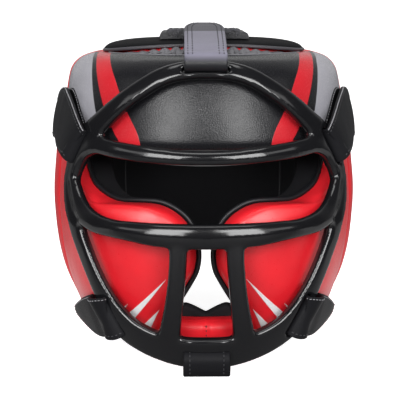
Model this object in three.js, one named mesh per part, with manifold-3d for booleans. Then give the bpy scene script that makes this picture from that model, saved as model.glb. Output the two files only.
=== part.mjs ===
// Padded head guard with a moulded face cage held on by six straps.
// Millimetres and degrees. The head frame has X to the right as seen from the front, the face towards -Y and
// Z up, with its origin in the middle of the head. The whole guard is then tilted back on to its resting points.
import * as THREE from 'three';
import { mergeVertices } from 'three/addons/utils/BufferGeometryUtils.js';
import Module from 'manifold-3d';

// Driving dimensions
const GAP = 0.4; // clearance between pieces that are sewn or laid together
const SEAM_ANGLE = 0.18; // half of the opening between neighbouring pads
const PAD_POWER = 2.2; // squareness of the pads' plan
const RIM_Z = 122; // top edge of the ring of pads
const BROW_Z = 51; // lower edge of the forehead pad over the eyes
const ARM_Z = 46; // top of the cheek pads at the temples
const SIDE_START = 72; // seam between forehead or cheek and side pad
const SEAM_SWEEP = 9; // how far that seam runs back towards the rim
const BACK_START = 130; // seam between side and back pad
const JAW_Z = -90; // lower edge of cheek and side pads
const CHIN_Z = -104; // lower edge of the chin pad
const THINNEST_PAD = 4; // wall left where a pad's edge is rounded off
const LINING_WALL = 2;
const LINING_GAP = 0.9; // lining to pads, wider because both are faceted
const PIPING_RADIUS = 1.6;
const CAGE_POWER = 2.3; // squareness of the cage's plan
const CAGE_TURN = 0.85; // how far the bars turn to the side with the curve of the face
const CAGE_DEPTH = 8.5; // front to back depth of every bar
const CAGE_CORNER = 2.6; // rounding of the bars' edges
const SLOT_HEIGHT = 4.4;
const STRAP_WALL = 2.6;
const FLOOR_AT_Z = -97.9; // height of the resting plane at y = 0 in the head frame
const FLOOR_SLOPE = 0.1178; // rise of the resting plane towards the back
const FOOTPRINT_Y = 13.4; // from the tilted head frame to the middle of the footprint

// Half sizes of the pads' outer and inner faces and of the cage's front face, by height
const OUTER = [
  { z: -118, side: 85, front: 107, rear: 95 },
  { z: -85, side: 98, front: 117, rear: 104 },
  { z: -45, side: 113.5, front: 122, rear: 115 },
  { z: 0, side: 119.5, front: 124, rear: 122.5 },
  { z: 50, side: 117, front: 121, rear: 121 },
  { z: 95, side: 109.5, front: 112, rear: 114 },
  { z: 124, side: 104, front: 104, rear: 108 },
];
const INNER = [
  { z: -118, side: 60, front: 80, rear: 76 },
  { z: -85, side: 68, front: 88, rear: 84 },
  { z: -45, side: 76, front: 94, rear: 92 },
  { z: 0, side: 82, front: 97, rear: 98 },
  { z: 50, side: 81, front: 97, rear: 97 },
  { z: 95, side: 79, front: 92, rear: 88 },
  { z: 124, side: 76, front: 84, rear: 78 },
];
const CAGE_FACE = [
  { z: -118, side: 96, front: 128 },
  { z: -85, side: 110, front: 140 },
  { z: -45, side: 121, front: 149 },
  { z: -5, side: 126, front: 152 },
  { z: 20, side: 126, front: 146 },
  { z: 50, side: 125, front: 136 },
  { z: 90, side: 119, front: 128 },
  { z: 125, side: 110, front: 119 },
];

// Eye, nose and mouth edge of the right cheek pad, from chin (0) to temple (1)
const CHEEK_EDGE = [
  { at: 0, angle: 22, z: -100 },
  { at: 0.17, angle: 14.5, z: -70 },
  { at: 0.24, angle: 10.5, z: -58 },
  { at: 0.31, angle: 6.8, z: -46.5 },
  { at: 0.37, angle: 4.3, z: -37 },
  { at: 0.43, angle: 3.5, z: -25 },
  { at: 0.49, angle: 4.6, z: -11 },
  { at: 0.55, angle: 7.6, z: 0.5 },
  { at: 0.6, angle: 12.4, z: 8.2 },
  { at: 0.65, angle: 18, z: 12.4 },
  { at: 0.71, angle: 26, z: 12.8 },
  { at: 0.77, angle: 35, z: 12.6 },
  { at: 0.85, angle: 44.5, z: 18.5 },
  { at: 0.92, angle: 51, z: 26.5 },
  { at: 1, angle: 58, z: ARM_Z },
];
const CHEEK_ROUND = 12; // rounding of that edge
const CHEEK_BULGE = 6; // how far the padding swells out of the ring's face

// Centre lines of the cage's bars on the right half, with the width of each bar's face
const RING_BAR = [
  { x: 0, z: 114.5, width: 14.5 },
  { x: 19, z: 113, width: 13.8 },
  { x: 34, z: 108.5, width: 13.5 },
  { x: 49, z: 100, width: 13.8 },
  { x: 63.5, z: 89.5, width: 14.5 },
  { x: 76, z: 78, width: 15.5 },
  { x: 86.5, z: 66.5, width: 18 },
  { x: 95.5, z: 53, width: 18.5 },
  { x: 101, z: 40, width: 15.5 },
  { x: 103.6, z: 27, width: 13 },
  { x: 102.5, z: 12, width: 13.5 },
  { x: 99.5, z: 0, width: 13.5 },
  { x: 97, z: -11, width: 12.5 },
  { x: 92.3, z: -23.5, width: 12.3 },
  { x: 86.3, z: -38, width: 12.6 },
  { x: 79.6, z: -52, width: 14 },
  { x: 72.2, z: -66, width: 18 },
  { x: 61, z: -79, width: 20.5 },
  { x: 47, z: -87.5, width: 21.5 },
  { x: 32, z: -93, width: 23 },
  { x: 16, z: -96.3, width: 24.5 },
  { x: 0, z: -97, width: 25 },
];
const BROW_BAR = [
  { x: 0, z: 49.8, width: 11 },
  { x: 18, z: 50.2, width: 11.2 },
  { x: 33, z: 51.2, width: 12 },
  { x: 47, z: 52.4, width: 12.5 },
  { x: 61, z: 53.9, width: 12.7 },
  { x: 75, z: 56, width: 13 },
  { x: 88, z: 60, width: 14 },
];
const MIDDLE_BAR = [
  { x: 0, z: -6, width: 18.6 },
  { x: 26, z: -5.4, width: 17.8 },
  { x: 40, z: -4.8, width: 17 },
  { x: 55, z: -3.4, width: 15 },
  { x: 70, z: -2, width: 13.4 },
  { x: 84, z: 0.5, width: 15 },
  { x: 98, z: 5, width: 17 },
];
const MOUTH_BAR = [
  { x: 20.8, z: -8, width: 13.4 },
  { x: 21.6, z: -27, width: 13 },
  { x: 22.8, z: -42, width: 13 },
  { x: 24.4, z: -57, width: 13.6 },
  { x: 26.5, z: -72, width: 15 },
  { x: 29, z: -90, width: 17 },
];
// Webs that round off the lower and upper outer corners of the eye opening
const LOWER_WEB = [
  { x: 101.5, z: 32, width: 6 },
  { x: 98.6, z: 20, width: 9.5 },
  { x: 94, z: 10, width: 12 },
  { x: 87, z: 4, width: 12 },
  { x: 77, z: 1, width: 10 },
  { x: 66, z: -0.6, width: 8 },
];
const UPPER_WEB = [
  { x: 101.5, z: 32, width: 6 },
  { x: 97.6, z: 44, width: 9 },
  { x: 92, z: 51.5, width: 10 },
  { x: 84, z: 54.8, width: 9 },
  { x: 72, z: 54.5, width: 8 },
];

// Strap slots: the two ends of each slot on the cage's front face (x and z), right half
const TEMPLE_SLOT = { from: [88.8, 67.5], to: [101.2, 41] };
const JAW_SLOT = { from: [77.5, -56], to: [61, -84.5] };
const CHIN_SLOT = { from: [-17.5, -95.5], to: [17.5, -95.5] };
const TOP_SLOT = { from: [-16.5, 113.2], to: [16.5, 113.2] };

// Small helpers for tables and interpolation
const rad = THREE.MathUtils.degToRad;
const mix = THREE.MathUtils.lerp;
const smooth = THREE.MathUtils.smoothstep;
const range = (count) => Array.from({ length: count }, (_, i) => i);

// A smooth value of one column of a table, with the table's other column as the position
function lookUp(table, key, column, at) {
  const last = table.length - 1;
  const t = THREE.MathUtils.clamp(at, table[0][key], table[last][key]);
  let i = 0;
  while (i < last - 1 && t > table[i + 1][key]) i += 1;
  const slope = (k) => {
    const a = table[Math.max(k - 1, 0)];
    const b = table[Math.min(k + 1, last)];
    return (b[column] - a[column]) / (b[key] - a[key]);
  };
  const step = table[i + 1][key] - table[i][key];
  const s = (t - table[i][key]) / step;
  const start = (2 * s ** 3 - 3 * s ** 2 + 1) * table[i][column];
  const end = (3 * s ** 2 - 2 * s ** 3) * table[i + 1][column];
  const bend = (s ** 3 - 2 * s ** 2 + s) * slope(i) + (s ** 3 - s ** 2) * slope(i + 1);
  return start + end + bend * step;
}

// Distance from the axis of the pads' inner or outer face, at an angle from the front and a height
function radiusAt(table, angle, z) {
  const s = Math.abs(Math.sin(rad(angle))) / lookUp(table, 'z', 'side', z);
  const c = Math.cos(rad(angle));
  const ahead = Math.abs(c) / lookUp(table, 'z', c > 0 ? 'front' : 'rear', z);
  return (s ** PAD_POWER + ahead ** PAD_POWER) ** (-1 / PAD_POWER);
}

const polar = (angle, r, z) => new THREE.Vector3(r * Math.sin(rad(angle)), -r * Math.cos(rad(angle)), z);
const floorZ = (y) => FLOOR_AT_Z + FLOOR_SLOPE * y;

// Soft pieces that reach the resting plane are pressed flat on it
function pressFlat(point) {
  point.z = Math.max(point.z, floorZ(point.y));
  return point;
}

// Rounding of a pad's edge: how far the face falls back, from distances to the edges and their radii
function edgeFall(edges) {
  let sum = 0;
  let largest = 0;
  for (const [distance, radius] of edges) {
    const a = Math.max(0, 1 - distance / radius);
    if (a > 0) largest = Math.max(largest, radius);
    sum += a * a;
  }
  return largest * (1 - Math.sqrt(Math.max(0, 1 - sum)));
}

// Positions from 0 to 1 that crowd towards both ends, where the edges are rounded
const CROWDING = 0.75;
function crowded(count) {
  return range(count + 1).map((i) => mix(i / count, (1 - Math.cos((Math.PI * i) / count)) / 2, CROWDING));
}

// A closed body between two grids of points, front and back, of the same size
function slabGeometry(front, back, closedAround = false) {
  const rows = front.length;
  const columns = front[0].length;
  const positions = [];
  for (const grid of [front, back]) for (const row of grid) for (const p of row) positions.push(p.x, p.y, p.z);
  const id = (face, i, j) => face * rows * columns + i * columns + (j % columns);
  const triangles = [];
  const quad = (a, b, c, d) => triangles.push(a, b, c, a, c, d);
  const across = closedAround ? columns : columns - 1;
  for (let i = 0; i < rows - 1; i += 1) {
    for (let j = 0; j < across; j += 1) {
      quad(id(0, i, j), id(0, i, j + 1), id(0, i + 1, j + 1), id(0, i + 1, j));
      quad(id(1, i, j), id(1, i + 1, j), id(1, i + 1, j + 1), id(1, i, j + 1));
    }
  }
  for (let j = 0; j < across; j += 1) {
    quad(id(0, 0, j), id(1, 0, j), id(1, 0, j + 1), id(0, 0, j + 1));
    quad(id(0, rows - 1, j), id(0, rows - 1, j + 1), id(1, rows - 1, j + 1), id(1, rows - 1, j));
  }
  if (!closedAround) {
    for (let i = 0; i < rows - 1; i += 1) {
      quad(id(0, i, 0), id(0, i + 1, 0), id(1, i + 1, 0), id(1, i, 0));
      quad(id(0, i, columns - 1), id(1, i, columns - 1), id(1, i + 1, columns - 1), id(0, i + 1, columns - 1));
    }
  }
  const geometry = new THREE.BufferGeometry();
  geometry.setAttribute('position', new THREE.Float32BufferAttribute(positions, 3));
  geometry.setIndex(triangles);
  return geometry;
}

// A pad between the inner and outer faces. place(u, v) gives its angle and height, spans(u, v) its size in mm.
function padGeometry({ place, spans, round, columns, rows, inset = 0, outset = 0, bulge = () => 0 }) {
  const front = [];
  const back = [];
  for (const v of crowded(rows)) {
    front.push([]);
    back.push([]);
    for (const u of crowded(columns)) {
      const { angle, z } = place(u, v);
      const { wide, tall } = spans(u, v);
      const fall = edgeFall([
        [u * wide, round.left],
        [(1 - u) * wide, round.right],
        [v * tall, round.bottom],
        [(1 - v) * tall, round.top],
      ]);
      const inner = radiusAt(INNER, angle, z) + inset;
      const outer = radiusAt(OUTER, angle, z) - outset + bulge(u, v) - fall;
      front.at(-1).push(pressFlat(polar(angle, Math.max(outer, inner + THINNEST_PAD), z)));
      back.at(-1).push(pressFlat(polar(angle, inner, z)));
    }
  }
  return slabGeometry(front, back);
}

// A pad whose four edges are straight seams or lower and upper lines given by angle
function bandPad({ from, to, bottom, top, ...rest }) {
  const place = (u, v) => {
    const angle = mix(from(v), to(v), u);
    return { angle, z: mix(bottom(angle), top(angle), v) };
  };
  const spans = (u, v) => {
    const { angle, z } = place(u, v);
    return { wide: rad(to(v) - from(v)) * radiusAt(OUTER, angle, z), tall: top(angle) - bottom(angle) };
  };
  return padGeometry({ place, spans, ...rest });
}

const mirrored = (geometry) => {
  const copy = geometry.clone();
  copy.scale(-1, 1, 1);
  const index = copy.index.array;
  for (let i = 0; i < index.length; i += 3) [index[i + 1], index[i + 2]] = [index[i + 2], index[i + 1]];
  return copy;
};

// Ring of pads
const SWEEP_Z = 52; // where the side seam starts to run back
const TEMPLE = { from: 50, to: 60 }; // where the brow line drops to the cheek pads
const seamAt = (z) => SIDE_START + SEAM_SWEEP * smooth(z, SWEEP_Z, RIM_Z);
const foreheadBottom = (angle) => mix(BROW_Z, ARM_Z + GAP, smooth(Math.abs(angle), TEMPLE.from, TEMPLE.to));
const foreheadPad = () =>
  bandPad({
    from: (v) => SEAM_ANGLE - seamAt(mix(ARM_Z, RIM_Z, v)),
    to: (v) => seamAt(mix(ARM_Z, RIM_Z, v)) - SEAM_ANGLE,
    bottom: foreheadBottom,
    top: () => RIM_Z,
    round: { left: 7, right: 7, bottom: 9, top: 17 },
    columns: 18,
    rows: 8,
  });

const SIDE_RISE = 4; // the lower edge of the side pads rises this far to the back
const sidePad = () =>
  bandPad({
    from: (v) => seamAt(mix(JAW_Z, RIM_Z, v)) + SEAM_ANGLE,
    to: () => BACK_START - SEAM_ANGLE,
    bottom: (angle) => mix(JAW_Z, JAW_Z + SIDE_RISE, smooth(angle, SIDE_START, BACK_START)),
    top: () => RIM_Z,
    round: { left: 9, right: 9, bottom: 12, top: 18 },
    columns: 8,
    rows: 12,
  });

// Two lobes rest on the surface behind, with the nape notch between them. Shares run from the middle to the seam.
const NAPE = { top: -56, lobe: JAW_Z - 3.5, from: 0.24, to: 0.52, rise: 0.82 };
function backBottom(angle) {
  const off = Math.abs(angle - 180) / (180 - BACK_START);
  const lobe = mix(NAPE.top, NAPE.lobe, smooth(off, NAPE.from, NAPE.to));
  return mix(lobe, JAW_Z + SIDE_RISE, smooth(off, NAPE.rise, 1));
}
const backPad = () =>
  bandPad({
    from: () => BACK_START + SEAM_ANGLE,
    to: () => 360 - BACK_START - SEAM_ANGLE,
    bottom: backBottom,
    top: () => RIM_Z,
    round: { left: 9, right: 9, bottom: 9, top: 18 },
    columns: 20,
    rows: 9,
  });

// Cheek pads, which run from the side seam in to the edge of the eyes, nose and mouth
const cheekEdge = (v) => ({ angle: lookUp(CHEEK_EDGE, 'at', 'angle', v), z: lookUp(CHEEK_EDGE, 'at', 'z', v) });
const cheekSeam = (v) => ({ angle: SIDE_START - SEAM_ANGLE, z: mix(JAW_Z, ARM_Z, v) });
function cheekPlace(u, v) {
  const edge = cheekEdge(v);
  const seam = cheekSeam(v);
  return { angle: mix(edge.angle, seam.angle, u), z: mix(edge.z, seam.z, u) };
}
function cheekSpans(u, v) {
  const { angle, z } = cheekPlace(u, v);
  const across = rad(cheekSeam(v).angle - cheekEdge(v).angle) * radiusAt(OUTER, angle, z);
  return { wide: across, tall: ARM_Z - JAW_Z };
}
// The swelling ends before the seam, and fades out under the eye and towards the chin
const SWELL = { across: 0.8, eye: 0.9, eyeFade: 0.35, chinFade: 0.3 };
function cheekBulge(u, v) {
  const across = Math.sin(Math.PI * Math.min(1, u / SWELL.across));
  return CHEEK_BULGE * across * smooth(SWELL.eye - v, 0, SWELL.eyeFade) * smooth(v, 0, SWELL.chinFade);
}
const cheekPad = () =>
  padGeometry({
    place: cheekPlace,
    spans: cheekSpans,
    round: { left: CHEEK_ROUND, right: 8, bottom: 8, top: 6 },
    bulge: cheekBulge,
    columns: 8,
    rows: 17,
  });

// Chin pad and the black cup behind it
const CHIN_TOP = -75;
const CHIN_SEAM = 0.7; // angle left open to the cheek pads
const CUP = { wall: 11, top: -65.3, dip: 7, dipAngle: 4.5, droop: 8, droopFrom: 9, droopTo: 20, roll: 4, rise: 3 };
const chinSide = (v) => mix(CHEEK_EDGE[0].angle, CHEEK_EDGE[1].angle, v) - CHIN_SEAM;
const chinPad = () =>
  bandPad({
    from: (v) => -chinSide(v),
    to: (v) => chinSide(v),
    bottom: () => CHIN_Z,
    top: () => CHIN_TOP,
    round: { left: 5, right: 5, bottom: 8, top: 8 },
    inset: CUP.wall + GAP,
    columns: 10,
    rows: 6,
  });
function cupTop(angle) {
  const turn = Math.abs(angle);
  const dip = CUP.dip * smooth(CUP.dipAngle - turn, 0, CUP.dipAngle);
  return CUP.top - dip - CUP.droop * smooth(turn, CUP.droopFrom, CUP.droopTo);
}
function chinLining() {
  const place = (u, v) => {
    const angle = mix(-1, 1, u) * (chinSide(v) - 2 * CHIN_SEAM);
    return { angle, z: mix(CHIN_Z + CUP.rise, cupTop(angle), v) };
  };
  const front = [];
  const back = [];
  for (const v of crowded(5)) {
    front.push([]);
    back.push([]);
    for (const u of crowded(12)) {
      const { angle, z } = place(u, v);
      const inner = radiusAt(INNER, angle, z);
      const roll = edgeFall([[(1 - v) * (CUP.top - CHIN_Z), CUP.roll]]);
      front.at(-1).push(polar(angle, inner + CUP.wall - roll, z));
      back.at(-1).push(polar(angle, inner + roll, z));
    }
  }
  return slabGeometry(front, back);
}

// Inner lining, cut away in front below the brow, and short of the pads' edges
const LINING = { brow: 2, hem: 10, nape: 5, rim: 7, from: 54, to: 70, blend: 4 };
function liningBottom(angle) {
  const turn = Math.abs(((angle + 180) % 360) - 180);
  const hem = JAW_Z + LINING.hem;
  const side = mix(BROW_Z + LINING.brow, hem, smooth(turn, LINING.from, LINING.to));
  const rear = Math.max(backBottom(turn) + LINING.nape, hem);
  return mix(side, rear, smooth(turn, BACK_START - LINING.blend, BACK_START + LINING.blend));
}
function liningGeometry() {
  const columns = 36;
  const rows = 5;
  const outerFace = [];
  const innerFace = [];
  for (const i of range(rows + 1)) {
    outerFace.push([]);
    innerFace.push([]);
    for (const j of range(columns)) {
      const angle = (j * 360) / columns;
      const z = mix(liningBottom(angle), RIM_Z - LINING.rim, i / rows);
      const r = radiusAt(INNER, angle, z) - LINING_GAP;
      outerFace.at(-1).push(polar(angle, r, z));
      innerFace.at(-1).push(polar(angle, r - LINING_WALL, z));
    }
  }
  return slabGeometry(outerFace, innerFace, true);
}

// A body swept along stations, each with a centre and the points of its section
function sweepGeometry(sections, closedLoop = false) {
  const count = sections[0].length;
  const positions = sections.flat().flatMap((p) => [p.x, p.y, p.z]);
  const triangles = [];
  const last = closedLoop ? sections.length : sections.length - 1;
  const id = (i, j) => (i % sections.length) * count + (j % count);
  for (let i = 0; i < last; i += 1) {
    for (let j = 0; j < count; j += 1) {
      triangles.push(id(i, j), id(i, j + 1), id(i + 1, j + 1), id(i, j), id(i + 1, j + 1), id(i + 1, j));
    }
  }
  if (!closedLoop) {
    for (let j = 1; j < count - 1; j += 1) {
      triangles.push(id(0, 0), id(0, j + 1), id(0, j));
      triangles.push(id(last, 0), id(last, j), id(last, j + 1));
    }
  }
  const geometry = new THREE.BufferGeometry();
  geometry.setAttribute('position', new THREE.Float32BufferAttribute(positions, 3));
  geometry.setIndex(triangles);
  return geometry;
}

// Black piping along the eye, nose and mouth edge of a cheek pad
const PIPING = { from: 0.19, to: 0.975, sunk: 1, step: 0.01, clear: 0.9 };
function cheekPiping() {
  const sides = 5;
  const stations = 26;
  const path = range(stations + 1).map((i) => {
    const v = mix(PIPING.from, PIPING.to, i / stations);
    const { angle, z } = cheekEdge(v);
    const ahead = cheekEdge(v + PIPING.step);
    const r = radiusAt(OUTER, angle, z) - CHEEK_ROUND;
    const along = new THREE.Vector2(rad(ahead.angle - angle) * r, ahead.z - z).normalize();
    const off = PIPING_RADIUS + PIPING.clear;
    return polar(angle - THREE.MathUtils.radToDeg((along.y * off) / r), r - PIPING.sunk, z + along.x * off);
  });
  const curve = new THREE.CatmullRomCurve3(path);
  const frames = curve.computeFrenetFrames(stations);
  const sections = range(stations + 1).map((i) => {
    const centre = curve.getPoint(i / stations);
    return range(sides).map((j) => {
      const a = (j / sides) * Math.PI * 2;
      return centre
        .clone()
        .addScaledVector(frames.normals[i], Math.cos(a) * PIPING_RADIUS)
        .addScaledVector(frames.binormals[i], Math.sin(a) * PIPING_RADIUS);
    });
  });
  return sweepGeometry(sections);
}

// Front face of the cage and the direction that a bar's face looks in
function cageY(x, z) {
  const side = lookUp(CAGE_FACE, 'z', 'side', z);
  const front = lookUp(CAGE_FACE, 'z', 'front', z);
  return -front * Math.max(0, 1 - (Math.abs(x) / side) ** CAGE_POWER) ** (1 / CAGE_POWER);
}
function cageNormal(x, z) {
  const turn = CAGE_TURN * Math.atan2(x, -cageY(x, z));
  const lean = (lookUp(CAGE_FACE, 'z', 'front', z - 1) - lookUp(CAGE_FACE, 'z', 'front', z + 1)) / 2;
  return new THREE.Vector3(Math.sin(turn), -Math.cos(turn), lean).normalize();
}
const cagePoint = (x, z) => new THREE.Vector3(x, cageY(x, z), z);

// Section of a bar: a rounded oblong whose front edge lies on the cage's face
const CORNER_TURNS = [20, 70]; // the two points that round each corner
function barSection(centre, along, normal, width) {
  const face = normal.clone().addScaledVector(along, -normal.dot(along)).normalize();
  const across = new THREE.Vector3().crossVectors(along, face);
  const half = width / 2 - CAGE_CORNER;
  const deep = CAGE_DEPTH / 2 - CAGE_CORNER;
  const points = [];
  for (const [sx, sy, start] of [[1, 1, 0], [-1, 1, 90], [-1, -1, 180], [1, -1, 270]]) {
    for (const turn of CORNER_TURNS) {
      const a = sx * half + CAGE_CORNER * Math.cos(rad(start + turn));
      const b = sy * deep + CAGE_CORNER * Math.sin(rad(start + turn)) - CAGE_DEPTH / 2;
      points.push(centre.clone().addScaledVector(across, a).addScaledVector(face, b));
    }
  }
  return points.reverse();
}

// A bar swept through the rows of a table. A whole bar runs on through the mirrored rows.
function barGeometry(table, { whole = false, loop = false, stations }) {
  const other = table.map((row) => ({ ...row, x: -row.x })).reverse();
  let rows = table;
  if (whole) rows = [...other.slice(0, -1), ...table];
  if (loop) rows = [...table, ...other.slice(1, -1)];
  const curve = new THREE.CatmullRomCurve3(
    rows.map((row) => new THREE.Vector3(row.x, row.width, row.z)),
    loop,
    'catmullrom',
    0.5,
  );
  const count = loop ? stations : stations + 1;
  const at = range(count).map((i) => curve.getPoint(i / stations));
  const centres = at.map((p) => cagePoint(p.x, p.z));
  const sections = at.map((p, i) => {
    const before = centres[loop ? (i + count - 1) % count : Math.max(i - 1, 0)];
    const after = centres[loop ? (i + 1) % count : Math.min(i + 1, count - 1)];
    const along = after.clone().sub(before).normalize();
    return barSection(centres[i], along, cageNormal(p.x, p.z), p.y);
  });
  return sweepGeometry(sections, loop);
}

// Frame of a strap slot: its middle, the direction along it, outwards over the cage's rim, and to the front
function slotFrame({ from, to }) {
  const start = cagePoint(...from);
  const end = cagePoint(...to);
  const middle = start.clone().lerp(end, 0.5);
  const centre = cagePoint(middle.x, middle.z);
  const along = end.clone().sub(start).normalize();
  const normal = cageNormal(middle.x, middle.z);
  const front = normal.addScaledVector(along, -normal.dot(along)).normalize();
  const out = new THREE.Vector3().crossVectors(front, along);
  const outward = new THREE.Vector3(middle.x, 0, middle.z * 0.6);
  if (out.dot(outward) < 0) out.negate();
  return { centre, along, out, front, length: start.distanceTo(end) };
}
const inSlot = (frame, out, front) =>
  frame.centre.clone().addScaledVector(frame.out, out).addScaledVector(frame.front, front);

// Joins and cuts for the moulded cage
const wasm = await Module();
wasm.setup();
function solidOf(geometry) {
  const bare = geometry.clone();
  bare.deleteAttribute('normal');
  bare.deleteAttribute('uv');
  const merged = mergeVertices(bare, 1e-4);
  const vertProperties = new Float32Array(merged.attributes.position.array);
  const triVerts = new Uint32Array(merged.index.array);
  return new wasm.Manifold(new wasm.Mesh({ numProp: 3, vertProperties, triVerts }));
}
function geometryOf(solid) {
  const { vertProperties, triVerts } = solid.getMesh();
  const geometry = new THREE.BufferGeometry();
  geometry.setAttribute('position', new THREE.Float32BufferAttribute(vertProperties, 3));
  geometry.setIndex([...triVerts]);
  return geometry;
}
const SLOT_SPARE = 1.6; // how much longer a slot is than its strap is wide
function slotCutter(frame) {
  const box = new THREE.BoxGeometry(frame.length + SLOT_SPARE, SLOT_HEIGHT, 4 * CAGE_DEPTH);
  const basis = new THREE.Matrix4().makeBasis(frame.along, frame.out, frame.front);
  if (basis.determinant() < 0) basis.makeBasis(frame.along.clone().negate(), frame.out, frame.front);
  return box.applyMatrix4(basis.setPosition(frame.centre));
}

const SLOTS = {
  top: slotFrame(TOP_SLOT),
  chin: slotFrame(CHIN_SLOT),
  temple: slotFrame(TEMPLE_SLOT),
  jaw: slotFrame(JAW_SLOT),
};

function faceCage() {
  const bars = [
    barGeometry(RING_BAR, { loop: true, stations: 50 }),
    barGeometry(BROW_BAR, { whole: true, stations: 16 }),
    barGeometry(MIDDLE_BAR, { whole: true, stations: 16 }),
  ];
  for (const table of [MOUTH_BAR, LOWER_WEB, UPPER_WEB]) {
    const bar = barGeometry(table, { stations: 6 });
    bars.push(bar, mirrored(bar));
  }
  let cage = solidOf(bars[0]);
  for (const bar of bars.slice(1)) cage = cage.add(solidOf(bar));
  for (const frame of Object.values(SLOTS)) {
    const cutter = slotCutter(frame);
    cage = cage.subtract(solidOf(cutter)).subtract(solidOf(mirrored(cutter)));
  }
  return geometryOf(cage);
}

// A flat strap through rows that hold a point, the direction across and the width, with a rounded far end
const BLUNT_TIP = 0.72; // share of the width left at the very end
function strapGeometry(rows, stations, tip) {
  const curve = new THREE.CatmullRomCurve3(rows.map((row) => row.point), false, 'centripetal');
  const spread = range(stations + 1).map((i) => i / stations);
  const length = curve.getLength();
  const sections = spread.map((t) => {
    const centre = curve.getPoint(t);
    const along = curve.getTangent(t);
    const place = t * (rows.length - 1);
    const k = Math.min(Math.floor(place), rows.length - 2);
    const across = rows[k].across.clone().lerp(rows[k + 1].across, place - k);
    across.addScaledVector(along, -across.dot(along)).normalize();
    const face = new THREE.Vector3().crossVectors(along, across).normalize();
    const toTip = Math.min(1, ((1 - t) * length) / tip);
    const rounded = mix(BLUNT_TIP, 1, Math.sqrt(1 - (1 - toTip) ** 2));
    const half = (mix(rows[k].width, rows[k + 1].width, place - k) / 2) * rounded;
    const corner = (a, b) =>
      pressFlat(centre.clone().addScaledVector(across, a * half).addScaledVector(face, (b * STRAP_WALL) / 2));
    return [corner(-1, -1), corner(1, -1), corner(1, 1), corner(-1, 1)];
  });
  return sweepGeometry(sections);
}

// A row of a strap that lies on the pads, lifted off them by some distance, and turned to follow their slope
function padRow({ angle, z, lift, width }) {
  const at = (height) => polar(angle, radiusAt(OUTER, angle, height) + GAP + STRAP_WALL / 2 + lift, height);
  const across = at(z - width / 2).sub(at(z + width / 2)).normalize();
  return { point: at(z), across, width };
}
// The same row still turned as the slot is, just behind the cage
const slotRow = (frame, row) => ({ ...padRow(row), across: frame.along });
// A row in the guard's middle plane
const middleRow = (width) => ({ y, z }) => ({ point: new THREE.Vector3(0, y, z), across: SLOTS.chin.along, width });
// Rows through a slot and round the cage's rim
const wrapRows = (frame, wrap, width) =>
  wrap.map(({ out, front }) => ({ point: inSlot(frame, out, front), across: frame.along, width }));

// From the forehead rim out through the cage's top slot, back over the lacing and on to the loop patch
const TOP_STRAP_WIDTH = 33;
const TOP_START = [
  { y: -99, z: 121.4 },
  { y: -106, z: 116.6 },
];
const TOP_WRAP = [
  { out: 0.6, front: -11.4 },
  { out: -0.2, front: -8 },
  { out: 0, front: -4 },
  { out: 0.1, front: 1.4 },
  { out: 2.4, front: 4.2 },
  { out: 7, front: 4.6 },
  { out: 12, front: 2 },
  { out: 14.2, front: -4.5 },
];
const TOP_TAIL = [
  { y: -97, z: 129.8 },
  { y: -62, z: 136.8 },
  { y: -40, z: 140.6 },
  { y: -12, z: 143.6 },
];
function topStrap() {
  const row = middleRow(TOP_STRAP_WIDTH);
  const wrap = wrapRows(SLOTS.top, TOP_WRAP, TOP_STRAP_WIDTH);
  return strapGeometry([...TOP_START.map(row), ...wrap, ...TOP_TAIL.map(row)], 36, 12);
}

// From the chin pad out through the chin slot, down over the cage's lower rim and back under the chin pad
const CHIN_STRAP_WIDTH = 35;
const CHIN_START = { angle: 0, z: -93, lift: 0.2, width: CHIN_STRAP_WIDTH };
const CHIN_WRAP = [
  { out: 0, front: -8.5 },
  { out: 0, front: -3.5 },
  { out: 0.2, front: 0.8 },
  { out: 2.8, front: 3.8 },
  { out: 8, front: 5 },
  { out: 13.2, front: 4.6 },
  { out: 17, front: 2.2 },
  { out: 18.6, front: -3 },
  { out: 18, front: -9.5 },
];
const CHIN_TAIL = [
  { y: -106, z: -108 },
  { y: -94, z: -105.9 },
  { y: -84, z: -105.9 },
];
function chinStrap() {
  const wrap = wrapRows(SLOTS.chin, CHIN_WRAP, CHIN_STRAP_WIDTH);
  const tail = CHIN_TAIL.map(middleRow(CHIN_STRAP_WIDTH));
  return strapGeometry([slotRow(SLOTS.chin, CHIN_START), ...wrap, ...tail], 30, 8);
}

// Side straps: off the pad, out through the slot, round the cage's rim and back on to the side pad
const RIM_WRAP = [
  { out: 0, front: -9 },
  { out: 0, front: -4 },
  { out: 0.2, front: 0.6 },
  { out: 2.8, front: 3.2 },
  { out: 8, front: 3 },
  { out: 13, front: -1 },
];
function sideStrap(frame, start, [first, ...tail], stations, tip) {
  const wrap = wrapRows(frame, RIM_WRAP, start.width);
  const rows = [slotRow(frame, start), ...wrap, slotRow(frame, first), ...tail.map(padRow)];
  return strapGeometry(rows, stations, tip);
}

// Leaf-shaped strap at the right temple
const TEMPLE_START = { angle: 52, z: 57, lift: 0.3, width: 29 };
const TEMPLE_TAIL = [
  { angle: 58, z: 61, lift: 6, width: 33 },
  { angle: 67, z: 67, lift: 3.4, width: 34 },
  { angle: 78, z: 70.5, lift: 2.4, width: 38 },
  { angle: 92, z: 71, lift: 0.8, width: 39 },
  { angle: 106, z: 70, lift: 0.4, width: 39 },
  { angle: 117, z: 68, lift: 0.4, width: 38 },
];
const templeStrap = () => sideStrap(SLOTS.temple, TEMPLE_START, TEMPLE_TAIL, 34, 14);

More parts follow.
